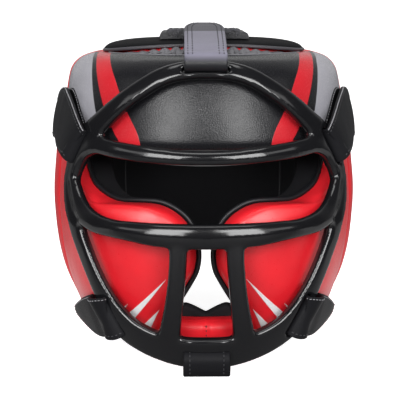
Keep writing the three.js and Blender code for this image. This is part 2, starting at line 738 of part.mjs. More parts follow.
// Strap at the right jaw, which dips under the jaw on its way back
const JAW_START = { angle: 33, z: -71, lift: 6.5, width: 33 };
const JAW_TAIL = [
  { angle: 48, z: -80, lift: 7, width: 31 },
  { angle: 57, z: -83, lift: 3, width: 27 },
  { angle: 65, z: -85, lift: 0.8, width: 25 },
  { angle: 73, z: -85, lift: 0.4, width: 23 },
];
const jawStrap = () => sideStrap(SLOTS.jaw, JAW_START, JAW_TAIL, 26, 10);

// Crown: top pad, tongue, lace and loop patch
const RIM_HOLE = INNER.at(-1); // the opening in the ring of pads at the rim
const CROWN = { middle: 12, side: 80.5, front: 70, rear: 74, height: 10.6, hem: 2, power: 3, softness: 3.5 };
const ARCH = { height: 4.6, from: -20, to: 45 }; // lift of the crown's front edge over the lacing
function crownBottom(x, y) {
  const arch = Math.max(0, 1 - (x / RIM_HOLE.side) ** 2) * smooth(-y, ARCH.from, ARCH.to);
  return RIM_Z + GAP + ARCH.height * arch;
}
function crownTop(x, y) {
  const dy = y - CROWN.middle;
  const across = Math.abs(x / CROWN.side) ** CROWN.power;
  const ahead = Math.abs(dy / (dy < 0 ? CROWN.front : CROWN.rear)) ** CROWN.power;
  const reach = Math.min(1, (across + ahead) ** (1 / CROWN.power));
  const full = Math.sqrt(Math.max(0, 1 - reach ** CROWN.softness));
  return mix(crownBottom(x, y) + CROWN.hem, RIM_Z + CROWN.height, full);
}
function crownPad() {
  const upper = [];
  const lower = [];
  for (const v of crowded(10)) {
    upper.push([]);
    lower.push([]);
    for (const u of crowded(12)) {
      const [a, b] = [2 * u - 1, 2 * v - 1];
      const disc = new THREE.Vector2(a * Math.sqrt(1 - b ** 2 / 2), b * Math.sqrt(1 - a ** 2 / 2));
      const square = (Math.abs(disc.x) ** CROWN.power + Math.abs(disc.y) ** CROWN.power) ** (1 / CROWN.power);
      if (square > 0) disc.multiplyScalar(disc.length() / square);
      const x = CROWN.side * disc.x;
      const y = CROWN.middle + disc.y * (disc.y < 0 ? CROWN.front : CROWN.rear);
      upper.at(-1).push(new THREE.Vector3(x, y, crownTop(x, y)));
      lower.at(-1).push(new THREE.Vector3(x, y, crownBottom(x, y)));
    }
  }
  return slabGeometry(upper, lower);
}

// Height of the tongue's upper face, which rises from the forehead rim to the underside of the crown pad
const TONGUE = { half: 67, rear: -38, wall: 3, sunk: 1.6, inset: 1.2, rise: 24 };
const tongueFront = (x) => {
  const ahead = (1 - (Math.abs(x) / RIM_HOLE.side) ** PAD_POWER) ** (1 / PAD_POWER);
  return TONGUE.inset - RIM_HOLE.front * ahead;
};
const tongueTop = (x, y) => {
  const rise = smooth(y, tongueFront(x), tongueFront(x) + TONGUE.rise);
  return mix(RIM_Z - TONGUE.sunk, crownBottom(x, y) - GAP, rise);
};
function crownTongue() {
  const upper = [];
  const lower = [];
  const columns = 12;
  const rows = 5;
  for (const i of range(rows + 1)) {
    upper.push([]);
    lower.push([]);
    for (const j of range(columns + 1)) {
      const x = mix(-TONGUE.half, TONGUE.half, j / columns);
      const y = mix(tongueFront(x), TONGUE.rear, i / rows);
      const z = tongueTop(x, y);
      upper.at(-1).push(new THREE.Vector3(x, y, z));
      lower.at(-1).push(new THREE.Vector3(x, y, z - TONGUE.wall));
    }
  }
  return slabGeometry(upper, lower);
}

// Flat lace in a zigzag over the tongue
const LACE = { half: 52, pitch: 9, wide: 3.6, wall: 0.8, front: 2.8, rear: 3.4, shortest: 5 };
const ZIGZAG = [0, 0.5, 1, 0.5];
function crownLace() {
  const legs = Math.round((2 * LACE.half) / LACE.pitch) * 2;
  const path = range(legs * 2 + 1).map((i) => {
    const x = mix(-LACE.half, LACE.half, i / (legs * 2));
    const start = tongueFront(x) + LACE.front;
    const crownEdge = (1 - Math.abs(x / CROWN.side) ** CROWN.power) ** (1 / CROWN.power);
    const end = CROWN.middle - CROWN.front * crownEdge - LACE.rear;
    const away = ZIGZAG[i % ZIGZAG.length];
    return new THREE.Vector2(x, mix(start, Math.max(end, start + LACE.shortest), away));
  });
  const faces = { upper: [[], []], lower: [[], []] };
  path.forEach((p, i) => {
    const along = path[Math.min(i + 1, path.length - 1)].clone().sub(path[Math.max(i - 1, 0)]).normalize();
    for (const side of [0, 1]) {
      const off = (side - 0.5) * LACE.wide;
      const [x, y] = [p.x - along.y * off, p.y + along.x * off];
      const z = tongueTop(x, y) + 2 * GAP;
      faces.upper[side].push(new THREE.Vector3(x, y, z + LACE.wall));
      faces.lower[side].push(new THREE.Vector3(x, y, z));
    }
  });
  return slabGeometry(faces.upper, faces.lower);
}

const PATCH = { half: 35, front: -37, rear: 40, top: 139, round: 5, fall: 0.8 };
function crownPatch() {
  const upper = [];
  const lower = [];
  for (const v of crowded(5)) {
    upper.push([]);
    lower.push([]);
    const y = mix(PATCH.front, PATCH.rear, v);
    for (const u of crowded(8)) {
      const x = mix(-PATCH.half, PATCH.half, u);
      const fall = edgeFall([
        [u * 2 * PATCH.half, PATCH.round],
        [(1 - u) * 2 * PATCH.half, PATCH.round],
      ]);
      upper.at(-1).push(new THREE.Vector3(x, y, PATCH.top - fall * PATCH.fall));
      lower.at(-1).push(new THREE.Vector3(x, y, crownTop(x, y) + GAP));
    }
  }
  return slabGeometry(upper, lower);
}

// Materials by colour
const leather = (color) => new THREE.MeshStandardMaterial({ color, roughness: 0.42, metalness: 0 });
const RED = leather(0xc9202a);
const BLACK = leather(0x232326);
const DARK = new THREE.MeshStandardMaterial({ color: 0x141316, roughness: 0.75, metalness: 0 });
const PLASTIC = new THREE.MeshStandardMaterial({ color: 0x19191b, roughness: 0.25, metalness: 0 });
const STRAP = new THREE.MeshStandardMaterial({ color: 0x2c2c30, roughness: 0.5, metalness: 0 });
const LACING = new THREE.MeshStandardMaterial({ color: 0x77757b, roughness: 0.7, metalness: 0 });

const guard = new THREE.Group();
function addPiece(name, geometry, material) {
  const mesh = new THREE.Mesh(geometry, material);
  mesh.name = name;
  guard.add(mesh);
}

addPiece('forehead_pad', foreheadPad(), BLACK);
const pairs = {
  side_pad: [sidePad(), RED],
  cheek_pad: [cheekPad(), RED],
  cheek_piping: [cheekPiping(), BLACK],
  temple_strap: [templeStrap(), STRAP],
  jaw_strap: [jawStrap(), STRAP],
};
for (const [name, [geometry, material]] of Object.entries(pairs)) {
  addPiece(`${name}_right`, geometry, material);
  addPiece(`${name}_left`, mirrored(geometry), material);
}
addPiece('back_pad', backPad(), BLACK);
addPiece('chin_pad', chinPad(), RED);
addPiece('chin_lining', chinLining(), DARK);
addPiece('lining', liningGeometry(), DARK);
addPiece('crown_pad', crownPad(), BLACK);
addPiece('crown_tongue', crownTongue(), RED);
addPiece('crown_lace', crownLace(), LACING);
addPiece('crown_patch', crownPatch(), DARK);
addPiece('face_cage', faceCage(), PLASTIC);
addPiece('top_strap', topStrap(), STRAP);
addPiece('chin_strap', chinStrap(), STRAP);

// The guard rests tilted back, on the strapped chin of the cage and the two lobes of the back pad
const tilt = Math.atan(FLOOR_SLOPE);
guard.rotation.x = -tilt;
guard.position.set(0, FOOTPRINT_Y, -FLOOR_AT_Z * Math.cos(tilt));
const part = new THREE.Group();
part.add(guard);

export default part;
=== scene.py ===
import math

import bpy
import numpy as np
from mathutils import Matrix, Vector


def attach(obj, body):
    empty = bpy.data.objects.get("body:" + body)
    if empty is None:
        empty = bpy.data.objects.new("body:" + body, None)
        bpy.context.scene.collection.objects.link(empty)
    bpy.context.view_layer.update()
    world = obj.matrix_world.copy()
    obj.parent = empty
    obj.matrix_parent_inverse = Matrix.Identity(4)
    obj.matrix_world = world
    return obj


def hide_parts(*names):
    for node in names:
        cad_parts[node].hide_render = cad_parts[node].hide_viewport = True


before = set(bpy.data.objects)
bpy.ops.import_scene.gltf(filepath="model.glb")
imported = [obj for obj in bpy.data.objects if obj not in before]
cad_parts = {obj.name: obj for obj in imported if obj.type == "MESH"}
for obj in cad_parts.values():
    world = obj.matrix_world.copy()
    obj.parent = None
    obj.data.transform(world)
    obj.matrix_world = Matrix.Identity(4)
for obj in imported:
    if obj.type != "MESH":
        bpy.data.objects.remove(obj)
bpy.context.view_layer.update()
scene = bpy.context.scene

# Forehead pad: a foam wedge in imitation leather, black in front with a red stripe and a grey panel at each
# end. The cover is sewn along its four edges and swells between them. Lengths are millimetres in the head's
# frame, X to the right, face to -Y, Z up. At rest the guard leans back on its back pad and chin.
MM = 0.001
FLOOR_SLOPE = 0.1178
FLOOR_AT_Z = -97.9
FOOTPRINT_Y = 13.4
TILT = math.atan(FLOOR_SLOPE)
OUTSIDE = [  # z, side, front, rear
    (-118, 85, 107, 95),
    (-85, 98, 117, 104),
    (-45, 113.5, 122, 115),
    (0, 119.5, 124, 122.5),
    (50, 117, 121, 121),
    (95, 109.5, 112, 114),
    (124, 104, 104, 108),
]
INSIDE = [  # z, side, front, rear
    (-118, 60, 80, 76),
    (-85, 68, 88, 84),
    (-45, 76, 94, 92),
    (0, 82, 97, 98),
    (50, 81, 97, 97),
    (95, 79, 92, 88),
    (124, 76, 84, 78),
]
PAD_POWER = 2.2
THINNEST_PAD = 4
WALL_RINGS = (0.08, 0.3, 0.7, 0.94)
PLAN_UNIT = 100.0


def xyz(x, y, z):
    return np.stack(np.broadcast_arrays(x, y, z), axis=-1)


def to_rest(points):
    """Head-frame millimetres as metres in the guard at rest."""
    p = np.asarray(points, float)
    y = p[..., 1] * math.cos(TILT) + p[..., 2] * math.sin(TILT) + FOOTPRINT_Y
    z = p[..., 2] * math.cos(TILT) - p[..., 1] * math.sin(TILT) - FLOOR_AT_Z * math.cos(TILT)
    return xyz(p[..., 0], y, z) * MM


def press_flat(points):
    """Soft parts stay above the floor they rest on."""
    p = np.array(points, float)
    p[..., 2] = np.maximum(p[..., 2], FLOOR_AT_Z + FLOOR_SLOPE * p[..., 1])
    return p


def mix(a, b, t):
    return a + (b - a) * t


def smooth(value, low, high):
    t = np.clip((value - low) / (high - low), 0, 1)
    return t * t * (3 - 2 * t)


def look_up(table, at):
    """Smooth columns of a table whose first column is the position."""
    rows = np.asarray(table, float)
    key, values = rows[:, 0], rows[:, 1:]
    last = len(key) - 1
    t = np.clip(np.asarray(at, float), key[0], key[-1])
    i = np.clip(np.searchsorted(key, t) - 1, 0, last - 1)
    before = np.maximum(np.arange(last + 1) - 1, 0)
    after = np.minimum(np.arange(last + 1) + 1, last)
    slope = (values[after] - values[before]) / (key[after] - key[before])[:, None]
    step = (key[i + 1] - key[i])[..., None]
    s = (t - key[i])[..., None] / step
    ends = (2 * s**3 - 3 * s**2 + 1) * values[i] + (3 * s**2 - 2 * s**3) * values[i + 1]
    bend = (s**3 - 2 * s**2 + s) * slope[i] + (s**3 - s**2) * slope[i + 1]
    return ends + bend * step


def radius_at(table, angle, z):
    turn = np.radians(angle)
    side, front, rear = np.moveaxis(look_up(table, z), -1, 0)
    ahead = np.abs(np.cos(turn)) / np.where(np.cos(turn) > 0, front, rear)
    return ((np.abs(np.sin(turn)) / side) ** PAD_POWER + ahead**PAD_POWER) ** (-1 / PAD_POWER)


def polar(angle, r, z):
    turn = np.radians(angle)
    return xyz(r * np.sin(turn), -r * np.cos(turn), z)


def crowded(count, share=0.6):
    """Steps from 0 to 1 that crowd towards both ends."""
    t = np.arange(count + 1) / count
    return mix(t, (1 - np.cos(np.pi * t)) / 2, share)


def edge_fall(edges):
    """How far a pad's face falls back at its rounded edges, from distances and radii."""
    near = [np.maximum(0, 1 - distance / radius) for distance, radius in edges]
    largest = np.max([np.where(a > 0, radius, 0) for a, (_, radius) in zip(near, edges)], axis=0)
    return largest * (1 - np.sqrt(np.maximum(0, 1 - np.sum(np.square(near), axis=0))))


def mesh_object(name, points, faces, chart=None):
    """A smooth mesh of head-frame points, with a map of their front view or of a chart of its own."""
    mesh = bpy.data.meshes.new(name)
    mesh.from_pydata(to_rest(points).tolist(), [], faces)
    mesh.polygons.foreach_set("use_smooth", [True] * len(mesh.polygons))
    chart = points[:, [0, 2]] if chart is None else chart
    corner = np.empty(len(mesh.loops), int)
    mesh.loops.foreach_get("vertex_index", corner)
    mesh.uv_layers.new(name="plan").data.foreach_set("uv", (chart[corner] / PLAN_UNIT).ravel())
    obj = bpy.data.objects.new(name, mesh)
    scene.collection.objects.link(obj)
    return obj


def quads(a, b, c, d):
    return np.stack([a, b, c, d], axis=-1).reshape(-1, 4)


def grid_faces(ids):
    """The faces of a grid of points, and the same turned over."""
    faces = quads(ids[:-1, :-1], ids[:-1, 1:], ids[1:, 1:], ids[1:, :-1])
    return faces, np.roll(faces[:, ::-1], 1, axis=1)


def slab(name, front, back):
    """A closed body between two grids, with rings of points down its walls. Walls and back take cover 1."""
    grid = np.arange(front[..., 0].size).reshape(front.shape[:2])
    rim = np.concatenate([grid[0, :-1], grid[:-1, -1], grid[-1, :0:-1], grid[:0:-1, 0]])
    points = [front.reshape(-1, 3), back.reshape(-1, 3)]
    rings = [rim]
    for k, share in enumerate(WALL_RINGS):
        points.append(mix(points[0][rim], points[1][rim], share))
        rings.append(2 * grid.size + k * len(rim) + np.arange(len(rim)))
    rings.append(rim + grid.size)
    face, rear = grid_faces(grid)
    walls = [quads(a, b, np.roll(b, -1), np.roll(a, -1)) for a, b in zip(rings[:-1], rings[1:])]
    faces = np.concatenate([face, rear + grid.size, *walls]).tolist()
    obj = mesh_object(name, np.concatenate(points), faces)
    material = np.ones(len(faces), int)
    material[: len(face)] = 0
    obj.data.polygons.foreach_set("material_index", material)
    return obj


def pad(name, place, rounding, columns, rows, inset=0.0, bulge=None):
    """A pad between the inner and outer faces, and how far each point of its face is from the sewn edge."""
    v, u = np.meshgrid(crowded(rows), crowded(columns), indexing="ij")
    angle, z, wide, tall = place(u, v)
    distances = [u * wide, (1 - u) * wide, v * tall, (1 - v) * tall]
    swell = bulge(u, v) if bulge else 0.0
    outer = radius_at(OUTSIDE, angle, z) + swell - edge_fall(list(zip(distances, rounding)))
    inner = radius_at(INSIDE, angle, z) + inset
    front = press_flat(polar(angle, np.maximum(outer, inner + THINNEST_PAD), z))
    back = press_flat(polar(angle, inner, z))
    return slab(name, front, back), np.min(distances, axis=0)


def band_place(start, end, bottom, top):
    """Place of a pad whose ends are seams by height and whose lower edge is a line by angle."""

    def place(u, v):
        angle = mix(start(v), end(v), u)
        z = mix(bottom(angle), top, v)
        wide = np.radians(end(v) - start(v)) * radius_at(OUTSIDE, angle, z)
        return angle, z, wide, top - bottom(angle)

    return place


def read_points(mesh):
    points = np.empty(len(mesh.vertices) * 3)
    mesh.vertices.foreach_get("co", points)
    return points.reshape(-1, 3)


# A cover is blown up like cloth, held along its seams and a little larger than the foam that evens its folds
CLOTH = {
    "use_pressure": True,
    "uniform_pressure_force": 1.6,
    "tension_stiffness": 30,
    "compression_stiffness": 20,
    "bending_stiffness": 0.6,
    "shrink_min": -0.012,
}
PUFF_FRAMES = 16
SEWN_BAND = (0.5, 11)
EVEN_SHARE = 0.5


def puff(obj, from_edge, cap=2.2, even=3):
    """Blows a cover up by at most `cap`, and evens out its folds in some rounds."""
    mesh = obj.data
    rest = read_points(mesh)
    loose = np.zeros(len(rest))
    loose[: from_edge.size] = smooth(from_edge.ravel(), *SEWN_BAND)
    sewn = obj.vertex_groups.new(name="sewn")
    for index, free in enumerate(loose.tolist()):
        sewn.add([index], 1 - free, "REPLACE")
    cloth = obj.modifiers.new("cover", "CLOTH")
    cloth.settings.vertex_group_mass = "sewn"
    for key, value in CLOTH.items():
        setattr(cloth.settings, key, value)
    cloth.settings.effector_weights.gravity = 0
    cloth.collision_settings.use_collision = False
    cloth.point_cache.frame_start = 1
    cloth.point_cache.frame_end = PUFF_FRAMES
    for number in range(1, PUFF_FRAMES + 1):
        scene.frame_set(number)
    shown = obj.evaluated_get(bpy.context.evaluated_depsgraph_get())
    move = read_points(shown.data) - rest
    length = np.linalg.norm(move, axis=1, keepdims=True)
    move *= np.minimum(1, cap * MM / np.maximum(length, 1e-9))
    ends = np.empty(len(mesh.edges) * 2, int)
    mesh.edges.foreach_get("vertices", ends)
    ends = ends.reshape(-1, 2)
    here, there = np.concatenate([ends, ends[:, ::-1]]).T
    neighbours = np.bincount(here, minlength=len(rest))[:, None]
    for _ in range(even):
        total = np.zeros_like(move)
        np.add.at(total, here, move[there])
        move = mix(move, total / neighbours, EVEN_SHARE)
    move[loose == 0] = 0
    obj.modifiers.remove(cloth)
    obj.vertex_groups.remove(sewn)
    mesh.vertices.foreach_set("co", (rest + move).ravel())
    scene.frame_set(1)


def as_mesh(obj):
    """Turns the modifiers of an object into its mesh."""
    shown = obj.evaluated_get(bpy.context.evaluated_depsgraph_get())
    mesh = bpy.data.meshes.new_from_object(shown)
    obj.modifiers.clear()
    old = obj.data
    obj.data = mesh
    bpy.data.meshes.remove(old)
    mesh.name = obj.name
    mesh.polygons.foreach_set("use_smooth", [True] * len(mesh.polygons))


def refine(obj, levels=2):
    finer = obj.modifiers.new("finer", "SUBSURF")
    finer.levels = finer.render_levels = levels
    as_mesh(obj)


def settle(obj, node=None, covers=()):
    for cover in covers:
        obj.data.materials.append(cover)
    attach(obj, "root")
    if node:
        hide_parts(node)


def add(tree, kind, *values, **settings):
    """A node with its settings made and its inputs set or linked."""
    node = tree.nodes.new(kind)
    for key, value in settings.items():
        setattr(node, key, value)
    for socket, value in values:
        if isinstance(value, bpy.types.NodeSocket):
            tree.links.new(value, node.inputs[socket])
        else:
            node.inputs[socket].default_value = value
    return node


def calc(tree, operation, a, b=0.0, c=0.0, clamp=False):
    node = add(tree, "ShaderNodeMath", (0, a), (1, b), (2, c), operation=operation, use_clamp=clamp)
    return node.outputs[0]


def noise(tree, place, scale, detail):
    node = add(tree, "ShaderNodeTexNoise", ("Vector", place), ("Scale", scale), ("Detail", detail))
    return node.outputs["Fac"]


# Skin of the covers: small pebbles with creases between them, a soft sag and uneven colour
PEBBLE_SLOPE = 4.0
FINE_SHARE = 0.8
TONE_SCALE = 45.0
TONE_SPAN = (0.86, 1.14)
SAG_SIZE = 26.0
GRAIN_GLOSS = -0.05
GLOSS_SHIFT = 0.06
LEATHER = bpy.data.node_groups.new("leather_skin", "ShaderNodeTree")
LEATHER.interface.new_socket("Place", in_out="INPUT", socket_type="NodeSocketVector")
for name in ("Cell", "Fold"):
    LEATHER.interface.new_socket(name, in_out="INPUT", socket_type="NodeSocketFloat")
for name in ("Grain", "Sag", "Tone"):
    LEATHER.interface.new_socket(name, in_out="OUTPUT", socket_type="NodeSocketFloat")
place, cell, fold = LEATHER.nodes.new("NodeGroupInput").outputs[:3]
per_cell = calc(LEATHER, "DIVIDE", 1.0, cell)
per_fold = calc(LEATHER, "DIVIDE", 1.0, fold)
creases = ("Vector", place), ("Scale", per_cell)
pebbles = add(LEATHER, "ShaderNodeTexVoronoi", *creases, feature="DISTANCE_TO_EDGE").outputs["Distance"]
pebble = calc(LEATHER, "MULTIPLY", pebbles, PEBBLE_SLOPE, clamp=True)
grain = calc(LEATHER, "MULTIPLY_ADD", noise(LEATHER, place, per_cell, detail=3.0), FINE_SHARE, pebble)
sag = noise(LEATHER, place, per_fold, detail=1.5)
patches = noise(LEATHER, place, TONE_SCALE, detail=4.0)
span = ("To Min", TONE_SPAN[0]), ("To Max", TONE_SPAN[1])
tone = add(LEATHER, "ShaderNodeMapRange", ("Value", patches), *span).outputs["Result"]
add(LEATHER, "NodeGroupOutput", ("Grain", grain), ("Sag", sag), ("Tone", tone))


def new_material(name, base, roughness, shine=0.5):
    material = bpy.data.materials.new(name)
    material.use_nodes = True
    shader = material.node_tree.nodes["Principled BSDF"]
    shader.inputs["Base Color"].default_value = (*base, 1)
    shader.inputs["Roughness"].default_value = roughness
    shader.inputs["Specular IOR Level"].default_value = shine
    return material, material.node_tree, shader


def leather(name, base, roughness, grain=0.035, sag=0.9, cell=1.5, shine=0.5, paint=None):
    """Imitation leather or cloth. Grain and sag are depths in mm. Paint gives a colour and a height."""
    material, tree, shader = new_material(name, base, roughness, shine)
    place = add(tree, "ShaderNodeTexCoord").outputs["Object"]
    sizes = ("Cell", cell * MM), ("Fold", SAG_SIZE * MM)
    skin = add(tree, "ShaderNodeGroup", ("Place", place), *sizes, node_tree=LEATHER).outputs
    height = calc(tree, "MULTIPLY", skin["Grain"], grain)
    height = calc(tree, "MULTIPLY_ADD", skin["Sag"], sag, height)
    colour = add(tree, "ShaderNodeRGB").outputs[0]
    colour.default_value = (*base, 1)
    if paint:
        colour, raised = paint(tree, colour)
        height = calc(tree, "ADD", height, raised)
    shade = add(tree, "ShaderNodeVectorMath", (0, colour), ("Scale", skin["Tone"]), operation="SCALE")
    tree.links.new(shade.outputs[0], shader.inputs["Base Color"])
    worn = calc(tree, "MULTIPLY_ADD", skin["Grain"], GRAIN_GLOSS, roughness + GLOSS_SHIFT)
    tree.links.new(worn, shader.inputs["Roughness"])
    bump = add(tree, "ShaderNodeBump", ("Height", height), ("Distance", MM), ("Strength", 1.0))
    tree.links.new(bump.outputs["Normal"], shader.inputs["Normal"])
    return material


def plan_of(tree):
    """Distance from the middle plane and height, or place along a strap, in mm from the map."""
    chart = add(tree, "ShaderNodeUVMap", uv_map="plan").outputs[0]
    across, up, _ = add(tree, "ShaderNodeSeparateXYZ", (0, chart)).outputs
    across = calc(tree, "ABSOLUTE", across)
    return calc(tree, "MULTIPLY", across, PLAN_UNIT), calc(tree, "MULTIPLY", up, PLAN_UNIT)


def line_by_height(tree, z, table):
    """A line across the pad: its distance from the middle at each height, from rows of both."""
    low, high, widest = 40.0, 130.0, 120.0
    share = calc(tree, "DIVIDE", calc(tree, "SUBTRACT", z, low), high - low)
    curve = add(tree, "ShaderNodeFloatCurve", ("Value", share))
    spots = curve.mapping.curves[0].points
    spots[0].location = (0, table[0][1] / widest)
    spots[1].location = (1, table[-1][1] / widest)
    for height, distance in table:
        spots.new((height - low) / (high - low), distance / widest)
    curve.mapping.update()
    return calc(tree, "MULTIPLY", curve.outputs[0], widest)


def over(tree, value, edge, sharpness=2.0):
    """One where a value is over an edge, with a soft step of half a millimetre."""
    return calc(tree, "MULTIPLY_ADD", calc(tree, "SUBTRACT", value, edge), sharpness, 0.5, clamp=True)


def lay_colour(tree, share, under, colour):
    node = add(tree, "ShaderNodeMix", ("Factor", share), (6, under), (7, (*colour, 1)), data_type="RGBA")
    return node.outputs[2]


STRIPE_RED = (0.5, 0.016, 0.024)
PANEL_GREY = (0.31, 0.305, 0.335)
BLACK = (0.009, 0.009, 0.0105)
STRIPE_OUTER = [(60, 65), (63, 66.8), (73, 71.5), (90, 77.6), (121, 83)]
STRIPE_INNER = [(60, 49), (83, 59), (101, 66), (121, 72.2)]
PANEL_EDGE = [(60, 77), (84, 82.8), (121, 86)]
PANEL_RAISE = 0.25


def forehead_paint(tree, black):
    x, z = plan_of(tree)
    outer, inner, edge = (
        over(tree, line_by_height(tree, z, table), x) for table in (STRIPE_OUTER, STRIPE_INNER, PANEL_EDGE)
    )
    stripe = calc(tree, "SUBTRACT", outer, inner, clamp=True)
    panel = calc(tree, "SUBTRACT", 1.0, edge)
    colour = lay_colour(tree, stripe, black, STRIPE_RED)
    colour = lay_colour(tree, panel, colour, PANEL_GREY)
    return colour, calc(tree, "MULTIPLY", calc(tree, "ADD", stripe, panel), PANEL_RAISE)


RIM_Z = 122
BROW_Z = 51
ARM_Z = 46
FOREHEAD_GAP = 0.4
TEMPLE_BEND = (50, 60)
SIDE_START = 72
SEAM_ANGLE = 0.18
SEAM_SWEEP = 9
SWEEP_Z = 52


def side_seam(z):
    return SIDE_START + SEAM_SWEEP * smooth(z, SWEEP_Z, RIM_Z)


def forehead_end(v):
    return side_seam(mix(ARM_Z, RIM_Z, v)) - SEAM_ANGLE


def forehead_bottom(angle):
    return mix(BROW_Z, ARM_Z + FOREHEAD_GAP, smooth(np.abs(angle), *TEMPLE_BEND))


forehead_place = band_place(lambda v: -forehead_end(v), forehead_end, forehead_bottom, RIM_Z)
forehead, from_edge = pad("forehead_cover", forehead_place, rounding=(7, 7, 9, 17), columns=48, rows=18)
puff(forehead, from_edge, even=16)
refine(forehead)
STRIPED = leather("striped_leather", BLACK, 0.24, grain=0.04, sag=0.5, shine=0.3, paint=forehead_paint)
settle(forehead, "forehead_pad", [STRIPED])

# Side pads: plain red pads over the ears, foam in imitation leather. Each is sewn to the forehead and cheek
# pads along the temple seam, and to the back pad behind the ear.
RED = (0.66, 0.013, 0.021)
RED_LEATHER = leather("red_leather", RED, 0.36, shine=0.3)
JAW_Z = -90
BACK_START = 130
SIDE_RISE = 4


def side_bottom(angle):
    return mix(JAW_Z, JAW_Z + SIDE_RISE, smooth(angle, SIDE_START, BACK_START))


def mirrored(obj):
    """The same piece for the left side of the head."""
    mesh = obj.data.copy()
    mesh.name = obj.name.replace("right", "left")
    mesh.vertices.foreach_set("co", (read_points(mesh) * (-1, 1, 1)).ravel())
    mesh.flip_normals()
    twin = bpy.data.objects.new(mesh.name, mesh)
    scene.collection.objects.link(twin)
    return twin


def settle_pair(obj, node=None, covers=()):
    """Settles a right piece and its mirror image."""
    settle(obj, node, covers)
    settle(mirrored(obj), node and node.replace("right", "left"))


side_place = band_place(
    lambda v: side_seam(mix(JAW_Z, RIM_Z, v)) + SEAM_ANGLE,
    lambda v: BACK_START - SEAM_ANGLE + 0 * v,
    side_bottom,
    RIM_Z,
)
side_pad, from_edge = pad("side_cover_right", side_place, rounding=(9, 9, 12, 18), columns=18, rows=34)
puff(side_pad, from_edge)
refine(side_pad)
settle_pair(side_pad, "side_pad_right", [RED_LEATHER])

# Back pad: a black foam pad in imitation leather, with a notch for the nape between two lobes. It is sewn to
# the side pads behind the ears. The guard stands on the lobes, which are pressed flat under its weight.
BLACK_LEATHER = leather("black_leather", (0.007, 0.007, 0.0082), 0.45, shine=0.25)
NAPE_TOP = -56
LOBE_Z = JAW_Z - 3.5
LOBE_SPAN = (0.24, 0.52)
LOBE_END = (0.82, 1)


def back_bottom(angle):
    off = np.abs(angle - 180) / (180 - BACK_START)
    lobe = mix(NAPE_TOP, LOBE_Z, smooth(off, *LOBE_SPAN))
    return mix(lobe, JAW_Z + SIDE_RISE, smooth(off, *LOBE_END))


back_place = band_place(
    lambda v: BACK_START + SEAM_ANGLE + 0 * v,
    lambda v: 360 - BACK_START - SEAM_ANGLE + 0 * v,
    back_bottom,
    RIM_Z,
)
back, from_edge = pad("back_cover", back_place, rounding=(9, 9, 9, 18), columns=40, rows=26)
puff(back, from_edge, cap=1.5)
refine(back)
back_points = read_points(back.data)
back_points[:, 2] = np.maximum(back_points[:, 2], 0)
back.data.vertices.foreach_set("co", back_points.ravel())
settle(back, "back_pad", [BLACK_LEATHER])

# Cheek pads: the thickest pads, foam in red imitation leather with tapered white stripes, that swell out
# between eye, nose and jaw. Their inner sides are lining cloth, sewn to the cover under the black piping.
CHEEK_EDGE = [  # place along the edge, angle, z
    (0, 22, -100),
    (0.17, 14.5, -70),
    (0.24, 10.5, -58),
    (0.31, 6.8, -46.5),
    (0.37, 4.3, -37),
    (0.43, 3.5, -25),
    (0.49, 4.6, -11),
    (0.55, 7.6, 0.5),
    (0.6, 12.4, 8.2),
    (0.65, 18, 12.4),
    (0.71, 26, 12.8),
    (0.77, 35, 12.6),
    (0.85, 44.5, 18.5),
    (0.92, 51, 26.5),
    (1, 58, ARM_Z),
]
CHEEK_ROUND = 12
CHEEK_BULGE = 6
BULGE_WIDE = 0.8
BULGE_TOP = 0.9
BULGE_FADE = 0.35
BULGE_RISE = 0.3
WHITE = (0.74, 0.71, 0.72)
ACCENT_RAISE = 0.15
ACCENTS = [  # tip x and z, a point further along the middle x and z, half width there
    (30, -42, 54.2, -70.2, 2.7),
    (35, -66.5, 45, -81.5, 3.2),
    (58.5, -62.7, 61.5, -66.5, 0.7),
]


def cheek_paint(tree, red):
    x, z = plan_of(tree)
    colour = red
    raised = 0.0
    for tip_x, tip_z, far_x, far_z, half in ACCENTS:
        run = math.hypot(far_x - tip_x, far_z - tip_z)
        way_x, way_z = (far_x - tip_x) / run, (far_z - tip_z) / run
        dx = calc(tree, "SUBTRACT", x, tip_x)
        dz = calc(tree, "SUBTRACT", z, tip_z)
        along = calc(tree, "MULTIPLY_ADD", dx, way_x, calc(tree, "MULTIPLY", dz, way_z))
        across = calc(tree, "MULTIPLY_ADD", dx, -way_z, calc(tree, "MULTIPLY", dz, way_x))
        line = calc(tree, "MULTIPLY", along, half / run)
        wedge = over(tree, line, calc(tree, "ABSOLUTE", across))
        wedge = calc(tree, "MULTIPLY", wedge, calc(tree, "GREATER_THAN", along, 0.0))
        colour = lay_colour(tree, wedge, colour, WHITE)
        raised = calc(tree, "MULTIPLY_ADD", wedge, ACCENT_RAISE, raised)
    return colour, raised


def cheek_edge(v):
    return np.moveaxis(look_up(CHEEK_EDGE, v), -1, 0)


def cheek_place(u, v):
    edge_angle, edge_z = cheek_edge(v)
    seam_angle = SIDE_START - SEAM_ANGLE
    angle = mix(edge_angle, seam_angle, u)
    z = mix(edge_z, mix(JAW_Z, ARM_Z, v), u)
    wide = np.radians(seam_angle - edge_angle) * radius_at(OUTSIDE, angle, z)
    return angle, z, wide, ARM_Z - JAW_Z


def cheek_bulge(u, v):
    across = np.sin(np.pi * np.minimum(1, u / BULGE_WIDE))
    return CHEEK_BULGE * across * smooth(BULGE_TOP - v, 0, BULGE_FADE) * smooth(v, 0, BULGE_RISE)


